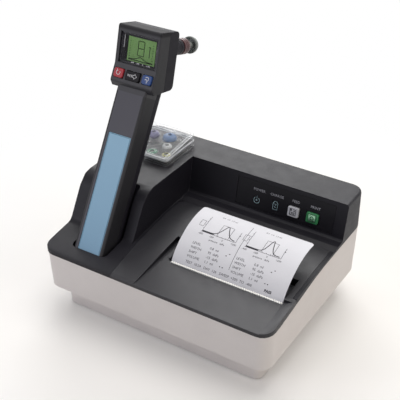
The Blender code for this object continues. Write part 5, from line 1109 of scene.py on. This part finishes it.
printed = {
    "thin": 0.36, "bold": 0.75, "figures": 2.5, "rows": 3.2, "axis": 35.0, "top": 54.0,
    "width": 34.0, "scale": ("-400", "-200", "0", "+200"), "scalePitch": 11.0, "scaleLevel": 32.6,
    # each graph: left end of its axis, height of its peak, narrowing of its curve
    "graphs": [(15.0, 12.5, 0.4), (59.0, 14.5, -0.8)],
    # words of each graph, from the left end of its axis
    "captions": [("pressure   daPa", 18.0, 29.3), ("0.5  1.0  1.5 ml", 16.0, 57.3)],
    "labels": [("LEVEL", "0.8  ml"), ("WIDTH", "95  daPa"), ("SHIFT", "-15  daPa"),
               ("VOLUME", "1.1  ml")],
    "labelAt": -2.5, "valueAt": 15.0, "firstRow": 22.4, "rowPitch": 4.2,
    "squares": [(31.5, 21.0), (34.0, 23.2), (30.0, 10.2), (32.6, 10.2)], "square": 1.1,
    "divider": (54.5, 10.5, 58.0),
    # the line at the foot: words, left end, boldness
    "foot": 4.6, "footWords": [("TEST  10:24   DAY  126   SWEEP  +200  TO  -400", 13.0, 0.0),
                               ("PASS", 91.0, 0.14)],
}


def graphLines(left, peak, narrow):
    # one small graph as thin lines (frame, ticks, boxes) and bold ones (curve, base, end tick)
    low, high, right = printed["axis"], printed["top"], left + printed["width"]
    thin = [[(left, low), (left, high)], [(left, low), (right, low)],
            [(right, low), (right, high - 7.0)]]
    thin += [[(left + step, low), (left + step, low + 1.1)] for step in range(0, 34, 4)]
    thin += [[(left - 1.0, low + step), (left, low + step)] for step in range(0, 20, 4)]
    thin += [boxLine(left - 6.0, low + 5.5, left - 1.8, low + 12.0)]
    thin += [[(left + 15.0, low), (left + 15.0, low + 13.5), (left + 26.0, low + 13.5),
              (left + 26.0, low)]]
    spread = 3.8 + narrow
    curve = [(left + step * 0.7,
              low + 1.2 + peak * math.exp(-abs((step * 0.7 - 20.5) / spread) ** 1.6))
             for step in range(47)]
    bold = [curve, [(left, low + 0.6), (left + 12.0, low + 0.6)],
            [(right - 0.4, low + 8.0), (right + 0.9, low + 8.0)]]
    return thin, bold


def divided(points, step=2.0):
    # a line with points close enough to follow the strip's curve
    closer = [points[0]]
    for (x, y), (endX, endY) in zip(points, points[1:]):
        count = max(1, math.ceil(math.dist((x, y), (endX, endY)) / step))
        closer += [(x + (endX - x) * share / count, y + (endY - y) * share / count)
                   for share in range(1, count + 1)]
    return closer


def makePrint():
    thin, bold, texts = [], [], []
    for left, peak, narrow in printed["graphs"]:
        lines, strokes = graphLines(left, peak, narrow)
        thin += lines
        bold += strokes
        texts += [lettered(figure, printed["figures"],
                           (left + step * printed["scalePitch"], printed["scaleLevel"]))
                  for step, figure in enumerate(printed["scale"])]
        texts += [lettered(words, printed["figures"], (left + across, level))
                  for words, across, level in printed["captions"]]
        for row, pair in enumerate(printed["labels"]):
            level = printed["firstRow"] - row * printed["rowPitch"]
            texts += [lettered(words, printed["rows"], (left + across, level), "LEFT")
                      for words, across in zip(pair, (printed["labelAt"], printed["valueAt"]))]
        bold += [[(left + across, level), (left + across + printed["square"], level)]
                 for across, level in printed["squares"]]
    x, low, high = printed["divider"]
    thin.append([(x, low), (x, high)])
    texts += [lettered(words, printed["rows"], (x, printed["foot"]), "LEFT", weight)
              for words, x, weight in printed["footWords"]]
    ink = joined("printedMarks", [
        stroked("thinLines", [divided(line) for line in thin], printed["thin"]),
        stroked("boldLines", [divided(line) for line in bold], printed["bold"]), *texts])
    alone(ink)
    bpy.ops.object.transform_apply()
    for vert in ink.data.vertices:
        vert.co = onStrip(vert.co.x / mm, vert.co.y / mm, paper["lift"] + vert.co.z / mm)
    finished(ink, "printInk", "cover")


makeStrip()
makePrint()
print("strip printed")
